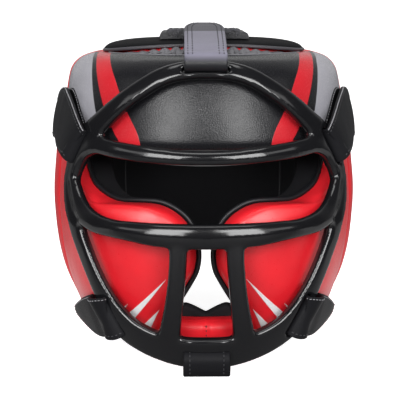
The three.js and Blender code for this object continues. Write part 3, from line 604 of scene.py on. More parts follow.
LINING_BLACK = (0.007, 0.0068, 0.0085)
LINING_CLOTH = leather("lining_cloth", LINING_BLACK, 0.8, shine=0.25, grain=0.05, sag=0.5, cell=0.9)
CHEEK_LEATHER = leather("cheek_leather", RED, 0.29, paint=cheek_paint)
cheek, from_edge = pad(
    "cheek_cover_right", cheek_place, rounding=(CHEEK_ROUND, 8, 8, 6), columns=24, rows=44, bulge=cheek_bulge
)
puff(cheek, from_edge)
refine(cheek)
settle_pair(cheek, "cheek_pad_right", [CHEEK_LEATHER, LINING_CLOTH])

# Piping: a cord in a strip of black imitation leather. It is sewn between cover and lining along the eye,
# nose and mouth edge of each cheek pad.
PIPING_RADIUS = 1.9
PIPING_SUNK = 1.0
PIPING_LAP = 0.3
PIPING_ENDS = (0.17, 0.985)
LOOK_AHEAD = 0.005


def rule_tree(name, start, sizes):
    """A tree with the shape it starts from, its sizes and its cover as named inputs."""
    tree = bpy.data.node_groups.new(name, "GeometryNodeTree")
    tree.is_modifier = True
    sockets = [(start, "Geometry"), *((size, "Float") for size in sizes), ("Cover", "Material")]
    for socket, kind in sockets:
        tree.interface.new_socket(socket, in_out="INPUT", socket_type=f"NodeSocket{kind}")
    tree.interface.new_socket("Geometry", in_out="OUTPUT", socket_type="NodeSocketGeometry")
    return tree, tree.nodes.new("NodeGroupInput").outputs


def covered(tree, shape, given):
    """Ends a tree: one real shape in its cover."""
    real = add(tree, "GeometryNodeRealizeInstances", (0, shape.outputs[0])).outputs[0]
    final = add(tree, "GeometryNodeSetMaterial", ("Geometry", real), ("Material", given["Cover"])).outputs[0]
    add(tree, "NodeGroupOutput", (0, final))
    return tree


def stepped(tree, lines, step):
    """Lines of edges as curves with points at even steps."""
    curves = add(tree, "GeometryNodeMeshToCurve", ("Mesh", lines)).outputs[0]
    even = add(tree, "GeometryNodeResampleCurve", ("Curve", curves), ("Length", step), mode="LENGTH")
    return even.outputs[0]


def swept(tree, curve, radius, sides, closed):
    """A round body along a curve."""
    ring = add(tree, "GeometryNodeCurvePrimitiveCircle", ("Resolution", sides), ("Radius", radius)).outputs[0]
    ways = ("Curve", curve), ("Profile Curve", ring), ("Fill Caps", closed)
    return add(tree, "GeometryNodeCurveToMesh", *ways)


def cord_tree():
    """A round cord along every line of a mesh of edges."""
    tree, given = rule_tree("cord", "Lines", ("Radius", "Step"))
    even = stepped(tree, given["Lines"], given["Step"])
    return covered(tree, swept(tree, even, given["Radius"], sides=8, closed=True), given)


def follow(obj, tree, **inputs):
    """Runs a tree on an object with its named inputs, and keeps the result as its mesh."""
    rule = obj.modifiers.new(tree.name, "NODES")
    rule.node_group = tree
    for item in tree.interface.items_tree:
        if item.name in inputs:
            rule[item.identifier] = inputs[item.name]
    as_mesh(obj)


def along_lines(name, lines, tree, slot, node=None, **inputs):
    """Runs a tree along head-frame lines and settles the piece."""
    points = np.concatenate(lines)
    ends = np.cumsum([len(line) for line in lines])
    edges = [(i, i + 1) for i in range(len(points) - 1) if i + 1 not in ends]
    mesh = bpy.data.meshes.new(name)
    mesh.from_pydata(to_rest(points).tolist(), edges, [])
    obj = bpy.data.objects.new(name, mesh)
    scene.collection.objects.link(obj)
    follow(obj, tree, **inputs)
    settle(obj, node)


CORD = cord_tree()


def cord(name, lines, slot, cover, radius, step, node=None):
    along_lines(name, lines, CORD, slot, node, Radius=radius * MM, Step=step * MM, Cover=cover)


def unit(vectors):
    return vectors / np.linalg.norm(vectors, axis=-1, keepdims=True)


def flipped(line):
    return line * np.array([-1, 1, 1])


def piping_line():
    v = np.linspace(*PIPING_ENDS, 140)
    angle, z = cheek_edge(v)
    ahead_angle, ahead_z = cheek_edge(v + LOOK_AHEAD)
    r = radius_at(OUTSIDE, angle, z) - CHEEK_ROUND
    way = unit(np.stack([np.radians(ahead_angle - angle) * r, ahead_z - z], axis=-1))
    off = PIPING_RADIUS - PIPING_LAP
    return polar(angle - np.degrees(way[:, 1] * off / r), r - PIPING_SUNK, z + way[:, 0] * off)


PIPING_LEATHER = leather("piping_leather", (0.008, 0.008, 0.0095), 0.4, shine=0.35, grain=0.02, sag=0.1)
for side, line in (("right", piping_line()), ("left", flipped(piping_line()))):
    node = f"cheek_piping_{side}"
    cord(f"cheek_cord_{side}", [line], "black_leather", PIPING_LEATHER, PIPING_RADIUS, step=2.2, node=node)

# Rim cord: a thin grey cord round the top of the forehead pad. It is sewn into the edge of the cover, in
# front of the lacing.
RIM_SPAN = 62
RIM_OUT = 0.6
RIM_UP = 0.1
RIM_CORD = leather("rim_cord", (0.12, 0.118, 0.13), 0.5, grain=0.02, sag=0.1)
rim_angle = np.linspace(-RIM_SPAN, RIM_SPAN, 90)
rim_radius = radius_at(INSIDE, rim_angle, RIM_Z) + THINNEST_PAD + RIM_OUT
rim_line = polar(rim_angle, rim_radius, RIM_Z + RIM_UP)
cord("forehead_cord", [rim_line], "striped_leather", RIM_CORD, radius=0.7, step=2.5)

# Chin pad: a small red foam pad in imitation leather, sewn in between the cheek pads. A seam in dark thread
# draws its cover in down the middle.
CHIN_Z = -104
CHIN_TOP = -75
CHIN_SEAM = 0.7
CHIN_GAP = 0.4
CHIN_SWELL = 1.2
GROOVE_DEPTH = 1.8
GROOVE_ANGLE = 0.9
CUP_WALL = 11
STITCH_SINK = 0.1
STITCHED_Z = (CHIN_TOP - 4, CHIN_Z + 7)


def chin_side(v):
    return mix(CHEEK_EDGE[0][1], CHEEK_EDGE[1][1], v) - CHIN_SEAM


def chin_swell(u, v):
    angle = (2 * u - 1) * chin_side(v)
    return CHIN_SWELL - GROOVE_DEPTH * np.exp(-((angle / GROOVE_ANGLE) ** 2))


chin_place = band_place(lambda v: -chin_side(v), chin_side, lambda angle: CHIN_Z + 0 * angle, CHIN_TOP)
chin_inset = CUP_WALL + CHIN_GAP
chin, _ = pad(
    "chin_cover", chin_place, rounding=(5, 5, 8, 8), columns=36, rows=12, inset=chin_inset, bulge=chin_swell
)
refine(chin)
settle(chin, "chin_pad", [RED_LEATHER])


def placed(tree, points, shape, rotation, scale):
    """A copy of a shape on every point."""
    ways = ("Points", points), ("Instance", shape.outputs[0]), ("Rotation", rotation), ("Scale", scale)
    return add(tree, "GeometryNodeInstanceOnPoints", *ways)


def stitch_tree():
    """A row of stitches along every line of a mesh of edges."""
    tree, given = rule_tree("stitches", "Lines", ("Pitch", "Thread", "Stretch"))
    even = stepped(tree, given["Lines"], given["Pitch"])
    bead = add(tree, "GeometryNodeMeshUVSphere", ("Segments", 6), ("Rings", 4), ("Radius", given["Thread"]))
    tangent = tree.nodes.new("GeometryNodeInputTangent").outputs[0]
    way = add(tree, "FunctionNodeAlignRotationToVector", ("Vector", tangent), axis="Z").outputs[0]
    shape = add(tree, "ShaderNodeCombineXYZ", (0, 1.0), (1, 1.0), (2, given["Stretch"])).outputs[0]
    return covered(tree, placed(tree, even, bead, way, shape), given)


STITCHES = stitch_tree()


def stitch(name, lines, slot, cover, pitch, stretch, thread=0.42):
    sizes = {"Pitch": pitch * MM, "Thread": thread * MM, "Stretch": stretch}
    along_lines(name, lines, STITCHES, slot, **sizes, Cover=cover)


def thread_of(name, base):
    return leather(name, base, 0.6, grain=0.0, sag=0.0)


chin_z = np.linspace(*STITCHED_Z, 30)
chin_seam = polar(0.0, radius_at(OUTSIDE, 0.0, chin_z) - STITCH_SINK, chin_z)
SEAM_THREAD = thread_of("seam_thread", (0.03, 0.008, 0.01))
stitch("chin_stitches", [chin_seam], "red_leather", SEAM_THREAD, pitch=3.2, stretch=2.4)

# Chin cup: a black padded cup of lining cloth behind the chin pad, sewn to it along the lower edge. Its
# rolled upper edge dips in the middle and falls away at both ends.
CUP_TOP = -65.3
CUP_FOOT = 3
CUP_ROLL = 4
CUP_DIP = 7
DIP_ANGLE = 9
DIP_POWER = 1.3
CUP_FALL = 8
FALL_ANGLE = 20


def cup_top(angle):
    turn = np.abs(angle)
    dip = CUP_DIP * np.maximum(0, 1 - turn / DIP_ANGLE) ** DIP_POWER
    return CUP_TOP - dip - CUP_FALL * smooth(turn, DIP_ANGLE, FALL_ANGLE)


v, u = np.meshgrid(crowded(10), crowded(28), indexing="ij")
angle = (2 * u - 1) * (chin_side(v) - 2 * CHIN_SEAM)
z = mix(CHIN_Z + CUP_FOOT, cup_top(angle), v)
roll = edge_fall([((1 - v) * (CUP_TOP - CHIN_Z), CUP_ROLL)])
inner = radius_at(INSIDE, angle, z)
cup = slab("chin_cup", polar(angle, inner + CUP_WALL - roll, z), polar(angle, inner + roll, z))
refine(cup)
settle(cup, "chin_lining", [LINING_CLOTH])

# Lining: thin padded black cloth round the inside of the ring of pads, open in front below the brow. It is
# sewn in along its hems, and its panels meet at four upright corded seams.
LINING_WALL = 2
LINING_GAP = 0.9
LINING_TOP = RIM_Z - 7
BROW_HEM = BROW_Z + 2
JAW_HEM = JAW_Z + 10
NAPE_HEM = 5
HEM_TURN = (54, 70)
BACK_TURN = (BACK_START - 4, BACK_START + 4)
LINING_ROWS = 12
LINING_COLUMNS = 120
LINING_SEAMS = (-131, -60, 60, 131)
SEAM_ENDS = (-74, 110)
SEAM_FOOT = 2


def lining_bottom(angle):
    turn = np.abs((angle + 180) % 360 - 180)
    side = mix(BROW_HEM, JAW_HEM, smooth(turn, *HEM_TURN))
    rear = np.maximum(back_bottom(turn) + NAPE_HEM, JAW_HEM)
    return mix(side, rear, smooth(turn, *BACK_TURN))


def lining_ring():
    shares = np.arange(LINING_COLUMNS) / LINING_COLUMNS
    v, u = np.meshgrid(np.linspace(0, 1, LINING_ROWS), shares, indexing="ij")
    angle = 360 * u
    z = mix(lining_bottom(angle), LINING_TOP, v)
    r = radius_at(INSIDE, angle, z) - LINING_GAP
    points = np.stack([polar(angle, r, z), polar(angle, r - LINING_WALL, z)]).reshape(-1, 3)
    ids = np.arange(len(points)).reshape(2, LINING_ROWS, LINING_COLUMNS)
    out, into = np.concatenate([ids, ids[:, :, :1]], axis=2)
    faces = [
        grid_faces(out)[0],
        grid_faces(into)[1],
        quads(out[0, :-1], into[0, :-1], into[0, 1:], out[0, 1:]),
        quads(out[-1, :-1], out[-1, 1:], into[-1, 1:], into[-1, :-1]),
    ]
    return mesh_object("lining_ring", points, np.concatenate(faces).tolist())


def lining_seam(angle):
    z = np.maximum(np.linspace(*SEAM_ENDS, 60), lining_bottom(np.float64(angle)) + SEAM_FOOT)
    return polar(angle, radius_at(INSIDE, angle, z) - LINING_GAP - LINING_WALL, z)


lining = lining_ring()
settle(lining, "lining", [LINING_CLOTH])
SEAM_CLOTH = leather("seam_cloth", (0.02, 0.02, 0.023), 0.6, grain=0.02, sag=0.1)
lining_lines = [lining_seam(angle) for angle in LINING_SEAMS]
cord("lining_seams", lining_lines, "lining_cloth", SEAM_CLOTH, radius=0.9, step=4)

# Crown: a black cloth pad over the top of the head, thick in the middle and rounded off to a thin edge. It is
# sewn to the back and side pads, and in front its edge arches over the tongue and the lacing.
HOLE_SIDE = INSIDE[-1][1]
HOLE_FRONT = INSIDE[-1][2]
CROWN_MIDDLE = 12
CROWN_SIDE = 80.5
CROWN_FRONT = 70
CROWN_REAR = 74
CROWN_POWER = 3
CROWN_GAP = 0.4
CROWN_ARCH = 4.6
ARCH_RUN = (-20, 45)
CROWN_EDGE = 2
CROWN_TOP = 10.6
DOME_POWER = 3.5


def crown_bottom(x, y):
    arch = np.maximum(0, 1 - (x / HOLE_SIDE) ** 2) * smooth(-y, *ARCH_RUN)
    return RIM_Z + CROWN_GAP + CROWN_ARCH * arch


def crown_length(y):
    return np.where(y < 0, CROWN_FRONT, CROWN_REAR)


def crown_top(x, y):
    ahead = y - CROWN_MIDDLE
    reach = np.abs(x / CROWN_SIDE) ** CROWN_POWER + np.abs(ahead / crown_length(ahead)) ** CROWN_POWER
    reach = np.minimum(1, reach ** (1 / CROWN_POWER))
    dome = np.sqrt(np.maximum(0, 1 - reach**DOME_POWER))
    return mix(crown_bottom(x, y) + CROWN_EDGE, RIM_Z + CROWN_TOP, dome)


def crown_plan(a, b):
    """The crown's outline from a square of -1 to 1."""
    disc = np.stack([a * np.sqrt(1 - b**2 / 2), b * np.sqrt(1 - a**2 / 2)], axis=-1)
    length = np.linalg.norm(disc, axis=-1)
    square = np.sum(np.abs(disc) ** CROWN_POWER, axis=-1) ** (1 / CROWN_POWER)
    across, ahead = np.moveaxis(disc * (length / np.maximum(square, 1e-9))[..., None], -1, 0)
    return CROWN_SIDE * across, CROWN_MIDDLE + ahead * crown_length(ahead)


b, a = np.meshgrid(2 * crowded(28) - 1, 2 * crowded(32) - 1, indexing="ij")
x, y = crown_plan(a, b)
crown = slab("crown_cover", xyz(x, y, crown_top(x, y)), xyz(x, y, crown_bottom(x, y)))
refine(crown, 1)
CROWN_CLOTH = leather("crown_cloth", (0.006, 0.006, 0.007), 0.7, grain=0.05, sag=0.7, cell=1.0, shine=0.05)
settle(crown, "crown_pad", [CROWN_CLOTH])

# Crown binding: a narrow band round the front edge of the crown. It is folded over the edge and sewn on, and
# shows as a thin rounded line. Its grey is partly its own colour and partly a painted highlight along that
# edge.
BINDING_SPAN = (200, 340)
BINDING_OUT = 0.3
BINDING_UP = 1.2
# The grey is partly the binding's colour and partly a painted highlight along the crown's edge.
BINDING_GREY_AND_HIGHLIGHT = leather("binding_grey_and_highlight", (0.045, 0.043, 0.05), 0.5, grain=0.02, sag=0.1)
turn = np.linspace(*np.radians(BINDING_SPAN), 90)
edge = np.stack([np.cos(turn), np.sin(turn)], axis=-1)
edge /= np.sum(np.abs(edge) ** CROWN_POWER, axis=1, keepdims=True) ** (1 / CROWN_POWER)
x, y = CROWN_SIDE * edge[:, 0], CROWN_MIDDLE + CROWN_FRONT * edge[:, 1]
crown_edge = xyz(x, y - BINDING_OUT, crown_bottom(x, y) + BINDING_UP)
cord("crown_binding", [crown_edge], "black_leather", BINDING_GREY_AND_HIGHLIGHT, radius=1.3, step=2.5)

# Crown tongue: a thin flap of red imitation leather under the lacing. It is sewn in along the forehead rim
# and slides under the front edge of the crown.
TONGUE_HALF = 67
TONGUE_REAR = -38
TONGUE_WALL = 3
TONGUE_SUNK = 1.6
TONGUE_INSET = 1.2
TONGUE_RUN = 24
TONGUE_GAP = 0.4


def tongue_front(x):
    return TONGUE_INSET - HOLE_FRONT * (1 - (np.abs(x) / HOLE_SIDE) ** PAD_POWER) ** (1 / PAD_POWER)


def tongue_top(x, y):
    rise = smooth(y, tongue_front(x), tongue_front(x) + TONGUE_RUN)
    return mix(RIM_Z - TONGUE_SUNK, crown_bottom(x, y) - TONGUE_GAP, rise)


v, u = np.meshgrid(np.linspace(0, 1, 16), np.linspace(-1, 1, 60), indexing="ij")
x = TONGUE_HALF * u
y = mix(tongue_front(x), TONGUE_REAR, v)
top = xyz(x, y, tongue_top(x, y))
tongue = slab("crown_tongue_cover", top, top - np.array([0, 0, TONGUE_WALL]))
settle(tongue, "crown_tongue", [RED_LEATHER])

# Lace: a flat woven grey cord in a zigzag over the tongue. It goes through the forehead rim, where its turns
# spread, and under the crown's edge, where they draw together.
LACE_HALF = 62
LACE_PITCH = 9
LACE_WIDE = 4.6
LACE_WALL = 0.8
LACE_LIFT = 0.8
LACE_STEPS = 8
LACE_SPREAD = (1.75, 0.5)
LACE_FRONT = 2.8
LACE_REAR = 3.4
LACE_SHORTEST = 5


def lace_strip():
    legs = round(2 * LACE_HALF / LACE_PITCH) * 2
    step = np.arange(legs * LACE_STEPS + 1)
    x = mix(-LACE_HALF, LACE_HALF, step / (legs * LACE_STEPS))
    start = tongue_front(x) + LACE_FRONT
    reach = (1 - np.abs(x / CROWN_SIDE) ** CROWN_POWER) ** (1 / CROWN_POWER)
    end = np.maximum(CROWN_MIDDLE - CROWN_FRONT * reach - LACE_REAR, start + LACE_SHORTEST)
    away = np.abs((step / LACE_STEPS + 1) % 2 - 1)
    path = np.stack([x, mix(start, end, away)], axis=-1)
    along = unit(np.gradient(path, axis=0))
    wide = LACE_WIDE * mix(*LACE_SPREAD, away)
    rows = []
    for share in (-0.5, 0, 0.5):
        px = path[:, 0] - along[:, 1] * share * wide
        py = path[:, 1] + along[:, 0] * share * wide
        rows.append(xyz(px, py, tongue_top(px, py) + LACE_LIFT))
    lower = np.stack(rows)
    return slab("crown_lacing", lower + np.array([0, 0, LACE_WALL]), lower)


LACE_CORD = leather("lace_cord", (0.13, 0.127, 0.14), 0.6, grain=0.08, sag=0.1, cell=0.8)
lace = lace_strip()
settle(lace, "crown_lace", [LACE_CORD])

# Loop patch: a thick black cloth patch with smooth bound ends, sewn flat on the crown. Its front and top are
# covered in loop pile, small loops of stiff thread that the top strap grips.
PATCH_HALF = 35
PATCH_FRONT = -37
PATCH_REAR = 40
PATCH_TOP = 139
PATCH_ROUND = 4
PATCH_FALL = 0.8
PATCH_SUNK = 1.2
PATCH_GAP = 0.4
PILE_HALF = 28
PILE_RUN = [  # y, z from the foot of the patch's front to its rear edge
    (PATCH_FRONT - 0.2, PATCH_TOP - 6),
    (PATCH_FRONT - 0.2, PATCH_TOP - 2.2),
    (PATCH_FRONT + 1.2, PATCH_TOP - 1.1),
    (PATCH_FRONT + 12, PATCH_TOP - 1.1),
    (PATCH_REAR - 1, PATCH_TOP - 1.1),
]
PILE_DENSITY = 240000.0
PILE_SEED = 7
LOOP_BEND = 4.4
LOOP_TURNS = ((1.1, -0.5, 0.0), (2.0, 0.5, 6.28))
LOOP_SIZES = (0.7, 1.25)


def patch_block():
    v, u = np.meshgrid(crowded(16), crowded(48, 0.8), indexing="ij")
    x = mix(-PATCH_HALF, PATCH_HALF, u)
    y = mix(PATCH_FRONT, PATCH_REAR, v)
    span = 2 * PATCH_HALF
    fall = edge_fall([(u * span, PATCH_ROUND), ((1 - u) * span, PATCH_ROUND)])
    top = xyz(x, y, PATCH_TOP - PATCH_FALL * fall - PATCH_SUNK)
    return slab("crown_patch_base", top, xyz(x, y, crown_top(x, y) + PATCH_GAP))


def loop_tree():
    """Small upright loops scattered over a face."""
    tree, given = rule_tree("loop_pile", "Ground", ("Density", "Loop", "Thread"))
    spread = ("Mesh", given["Ground"]), ("Density", given["Density"]), ("Seed", PILE_SEED)
    spots = add(tree, "GeometryNodeDistributePointsOnFaces", *spread).outputs[0]
    arc = ("Resolution", 7), ("Radius", given["Loop"]), ("Sweep Angle", LOOP_BEND)
    bow = add(tree, "GeometryNodeCurveArc", *arc).outputs[0]
    loop = swept(tree, bow, given["Thread"], sides=4, closed=False)
    turns = (0, LOOP_TURNS[0]), (1, LOOP_TURNS[1])
    spin = add(tree, "FunctionNodeRandomValue", *turns, data_type="FLOAT_VECTOR").outputs[0]
    sizes = (2, LOOP_SIZES[0]), (3, LOOP_SIZES[1])
    size = add(tree, "FunctionNodeRandomValue", *sizes, data_type="FLOAT").outputs[1]
    return covered(tree, placed(tree, spots, loop, spin, size), given)


PATCH_CLOTH = leather("patch_cloth", (0.009, 0.009, 0.011), 0.5, grain=0.1, sag=0.2, cell=1.0)
PILE = leather("loop_pile", (0.06, 0.06, 0.068), 0.5, grain=0.05, sag=0.1)
patch = patch_block()
refine(patch, 1)
settle(patch, "crown_patch", [PATCH_CLOTH])

ground = np.array([(x, y, z) for y, z in PILE_RUN for x in (-PILE_HALF, PILE_HALF)], float)
ids = np.arange(len(ground)).reshape(-1, 2)
pile = mesh_object("crown_pile", ground, grid_faces(ids)[0].tolist())
follow(pile, loop_tree(), Density=PILE_DENSITY, Loop=1.4 * MM, Thread=0.28 * MM, Cover=PILE)
settle(pile)

# Face cage: one glossy black plastic moulding of rounded bars, with fillets where they meet. Six slots
# through its outer ring take the straps that hold it on the pads.
CAGE_FACE = [  # z, side, front
    (-118, 96, 128),
    (-85, 110, 140),
    (-45, 121, 149),
    (-5, 126, 152),
    (20, 126, 146),
    (50, 125, 136),
    (90, 119, 128),
    (125, 110, 119),
]
RING_BAR = [  # x, z, width
    (0, 114.5, 14.5),
    (19, 113, 13.8),
    (34, 108.5, 13.5),
    (49, 100, 13.8),
    (63.5, 89.5, 14.5),
    (76, 78, 15.5),
    (86.5, 66.5, 18),
    (95.5, 53, 18.5),
    (101, 40, 15.5),
    (103.6, 27, 13),
    (102.5, 12, 13.5),
    (99.5, 0, 13.5),
    (97, -11, 12.5),
    (92.3, -23.5, 12.3),
    (86.3, -38, 12.6),
    (79.6, -52, 14),
    (72.2, -66, 18),
    (61, -79, 20.5),
    (47, -87.5, 21.5),
    (32, -93, 23),
    (16, -96.3, 24.5),
    (0, -97, 25),
]
BROW_BAR = [  # x, z, width
    (0, 49.8, 11),
    (18, 50.2, 11.2),
    (33, 51.2, 12),
    (47, 52.4, 12.5),
    (61, 53.9, 12.7),
    (75, 56, 13),
    (88, 60, 14),
]
MIDDLE_BAR = [  # x, z, width
    (0, -6, 18.6),
    (26, -5.4, 17.8),
    (40, -4.8, 17),
    (55, -3.4, 15),
    (70, -2, 13.4),
    (84, 0.5, 14),
    (95, 4, 11),
]
MOUTH_BAR = [  # x, z, width
    (20.8, -8, 13.4),
    (21.6, -27, 13),
    (22.8, -42, 13),
    (24.4, -57, 13.6),
    (26.5, -72, 15),
    (29, -90, 17),
]
LOWER_WEB = [  # x, z, width
    (101.5, 32, 6),
    (98.6, 20, 9.5),
    (94, 10, 12),
    (87, 4, 12),
    (77, 1, 10),
    (66, -0.6, 8),
]
UPPER_WEB = [  # x, z, width
    (101.5, 32, 6),
    (97.6, 44, 9),
    (92, 51.5, 10),
    (84, 54.8, 9),
    (72, 54.5, 8),
]
SLOT_ENDS = {  # x and z of the two ends on the cage's face
    "top": ((-16.5, 113.2), (16.5, 113.2)),
    "chin": ((-17.5, -95.5), (17.5, -95.5)),
    "temple": ((88.8, 67.5), (101.2, 41)),
    "jaw": ((77.5, -56), (61, -84.5)),
}
CAGE_POWER = 2.3
CAGE_TURN = 0.85
CAGE_DEPTH = 8.5
CAGE_CORNER = 2.1
ARCH_LEAN = 0.22
ARCH_SPAN = (58, 88)
SWELL_FADE = 0.4
SLOT_HEIGHT = 4.4
SLOT_SPARE = 1.6
OUT_RISE = 0.6
VOXEL = 1.0
GLOSS_SCALE = 60.0
GLOSS_SPAN = 0.1


def cage_point(x, z):
    side, front = np.moveaxis(look_up(CAGE_FACE, z), -1, 0)
    share = np.maximum(0, 1 - (np.abs(x) / side) ** CAGE_POWER)
    return xyz(x, -front * share ** (1 / CAGE_POWER), z)


def cage_normal(x, z):
    p = cage_point(x, z)
    turn = CAGE_TURN * np.arctan2(p[..., 0], -p[..., 1])
    lean = (look_up(CAGE_FACE, z - 1)[..., 1] - look_up(CAGE_FACE, z + 1)[..., 1]) / 2
    lean = lean + ARCH_LEAN * smooth(z, *ARCH_SPAN)
    return unit(xyz(np.sin(turn), -np.cos(turn), lean))


def spline(points, count, closed=False, even=0.0):
    """Points on a curve through the given ones. `even` is 0.25 for the rounder, centripetal kind."""
    p = np.asarray(points, float)
    spans = len(p) if closed else len(p) - 1
    place = np.arange(count) / count * spans if closed else np.linspace(0, spans, count)
    k = np.minimum(place.astype(int), spans - 1)
    s = (place - k)[:, None]
    if closed:
        p0, p1, p2, p3 = (p[(k + d) % len(p)] for d in (-1, 0, 1, 2))
    else:
        long = np.concatenate([[2 * p[0] - p[1]], p, [2 * p[-1] - p[-2]]])
        p0, p1, p2, p3 = (long[k + d] for d in range(4))
    pairs = (p0, p1), (p1, p2), (p2, p3)
    d0, d1, d2 = (np.sum((b - a) ** 2, axis=1, keepdims=True) ** even for a, b in pairs)
    t1 = ((p1 - p0) / d0 - (p2 - p0) / (d0 + d1) + (p2 - p1) / d1) * d1
    t2 = ((p2 - p1) / d1 - (p3 - p1) / (d1 + d2) + (p3 - p2) / d2) * d1
    return p1 + t1 * s + (3 * (p2 - p1) - 2 * t1 - t2) * s**2 + (2 * (p1 - p2) + t1 + t2) * s**3


def across_from(vectors, along):
    """Unit vectors at right angles to a line, as near as can be to the given ones."""
    return unit(vectors - along * np.sum(vectors * along, axis=-1, keepdims=True))


def tube_faces(stations, around, closed):
    ids = np.arange(stations * around).reshape(stations, around)
    ids = np.concatenate([ids, ids[:, :1]], axis=1)
    if closed:
        ids = np.concatenate([ids, ids[:1]])
    faces = grid_faces(ids)[0].tolist()
    if not closed:
        faces += [ids[0, -2::-1].tolist(), ids[-1, :-1].tolist()]
    return faces


def bar(table, count, whole=False, loop=False, side=1, crown=0.3):
    """A bar swept through a table's rows: its points and faces, in one half, right across or all round."""
    rows = [(side * x, width, z) for x, z, width in table]
    other = [(-x, width, z) for x, width, z in reversed(rows)]
    if whole:
        rows = other[:-1] + rows
    if loop:
        rows = rows + other[1:-1]
    x, width, z = spline(rows, count, closed=loop).T
    centre = cage_point(x, z)
    if loop:
        along = unit(np.roll(centre, -1, axis=0) - np.roll(centre, 1, axis=0))
    else:
        along = unit(np.gradient(centre, axis=0))
    face = across_from(cage_normal(x, z), along)
    across = np.cross(along, face)
    half = width / 2 - CAGE_CORNER
    deep = CAGE_DEPTH / 2 - CAGE_CORNER
    swell = np.full(count, crown)
    if whole:
        swell = crown * smooth(1 - np.abs(x) / np.abs(x).max(), 0, SWELL_FADE)
    section = []
    for sx, sy, start in ((1, 1, 0), (-1, 1, 90), (-1, -1, 180), (1, -1, 270)):
        for turn in np.radians(start + np.linspace(0, 90, 6)):
            wide = sx * half + CAGE_CORNER * np.cos(turn)
            high = sy * deep + CAGE_CORNER * np.sin(turn) - CAGE_DEPTH / 2
            section.append(centre + across * wide[:, None] + face * high)
        if start == 0:
            for share in (0.6, 0.2, -0.2, -0.6):
                high = swell * (1 - share**2)
                section.append(centre + across * (share * half)[:, None] + face * high[:, None])
    points = np.stack(section[::-1], axis=1)
    return points.reshape(-1, 3), tube_faces(count, len(section), loop)


def slot_frame(ends):
    start, end = (cage_point(*map(np.float64, spot)) for spot in ends)
    x, _, z = (start + end) / 2
    along = unit(end - start)
    front = across_from(cage_normal(x, z), along)
    out = np.cross(front, along)
    if np.dot(out, (x, 0, OUT_RISE * z)) < 0:
        out = -out
    length = np.linalg.norm(end - start)
    return {"centre": cage_point(x, z), "along": along, "out": out, "front": front, "length": length}


SLOTS = {name: slot_frame(ends) for name, ends in SLOT_ENDS.items()}


def joined(bodies):
    """Points and faces of several bodies as one."""
    points, faces, count = [], [], 0
    for spots, sides in bodies:
        points.append(spots)
        faces += [[i + count for i in side] for side in sides]
        count += len(spots)
    return np.concatenate(points), faces


def slot_boxes():
    """Boxes through the six slots."""
    corners = np.array([(i, j, k) for i in (-1, 1) for j in (-1, 1) for k in (-1, 1)])
    sides = ((0, 1, 3, 2), (4, 6, 7, 5), (0, 4, 5, 1), (2, 3, 7, 6), (0, 2, 6, 4), (1, 5, 7, 3))
    boxes = []
    for name, slot in SLOTS.items():
        half = np.array([(slot["length"] + SLOT_SPARE) / 2, SLOT_HEIGHT / 2, 2 * CAGE_DEPTH])
        box = slot["centre"] + corners * half @ np.stack([slot["along"], slot["out"], slot["front"]])
        boxes.append((box, sides))
        if name in ("temple", "jaw"):
            boxes.append((flipped(box), sides))
    return boxes


def cage_bars():
    bars = [
        bar(RING_BAR, 420, loop=True),
        bar(BROW_BAR, 120, whole=True, crown=0.9),
        bar(MIDDLE_BAR, 130, whole=True, crown=1.6),
    ]
    for table in (MOUTH_BAR, LOWER_WEB, UPPER_WEB):
        bars += [bar(table, 60), bar(table, 60, side=-1)]
    return bars


def melt(obj, name):
    """Runs the bodies of an object into one, on a fine grid."""
    melted = obj.modifiers.new(name, "REMESH")
    melted.mode = "VOXEL"
    melted.voxel_size = VOXEL * MM


def plastic(name, base, roughness):
    """Moulded plastic with a slightly uneven gloss."""
    material, tree, shader = new_material(name, base, roughness)
    place = add(tree, "ShaderNodeTexCoord").outputs["Object"]
    uneven = noise(tree, place, GLOSS_SCALE, detail=4.0)
    gloss = calc(tree, "MULTIPLY_ADD", uneven, GLOSS_SPAN, roughness - GLOSS_SPAN / 2)
    tree.links.new(gloss, shader.inputs["Roughness"])
    return material


cage = mesh_object("cage_shell", *joined(cage_bars()))
cutter = mesh_object("slot_cutters", *joined(slot_boxes()))
melt(cage, "join")
slotted = cage.modifiers.new("slots", "BOOLEAN")
slotted.operation = "DIFFERENCE"
slotted.solver = "EXACT"
slotted.object = cutter
melt(cage, "fillet")
even = cage.modifiers.new("even", "SMOOTH")
even.factor = 0.5
even.iterations = 24
as_mesh(cage)
bpy.data.objects.remove(cutter)
CAGE_PLASTIC = plastic("cage_plastic", (0.006, 0.006, 0.007), 0.14)
settle(cage, "face_cage", covers=[CAGE_PLASTIC])

# Temple straps: leaf-shaped straps of black imitation leather with stitched edges, and a pale edge towards
# the face that is a painted highlight.
# Like the other straps, each starts on a pad, goes out through its slot, folds round the cage's rim and lies
# back on the pads, where a hook and loop patch under it holds it.
STRAP_WALL = 2.6
STRAP_GAP = 0.4
STITCH_RISE = 0.1
CUP_RUN = (26, 52)
SECTION_TURNS = np.radians([60, 30, 0, -30, -60])
RIM_WRAP = [(0, -9), (0, -4), (0.2, 0.6), (2.6, 2.7), (7.5, 2.6)]  # out, front
SPREAD_RUN = 12
TEMPLE_START = (52, 57, 0.3, 29)  # angle, z, lift, width
TEMPLE_SPREAD = (6, 0)
TEMPLE_TAIL = [  # upper angle, upper z, lower angle, lower z, lift
    (59, 92.5, 62.5, 50, 6.2),
    (65.5, 95.5, 69, 54, 3.8),
    (76, 91.5, 77, 54.5, 2.8),
    (87, 85, 88, 53, 2.6),
    (99, 82, 100, 52, 2),
    (109, 81, 110, 51, 1.6),
    (117, 80, 117, 50, 1.4),
]


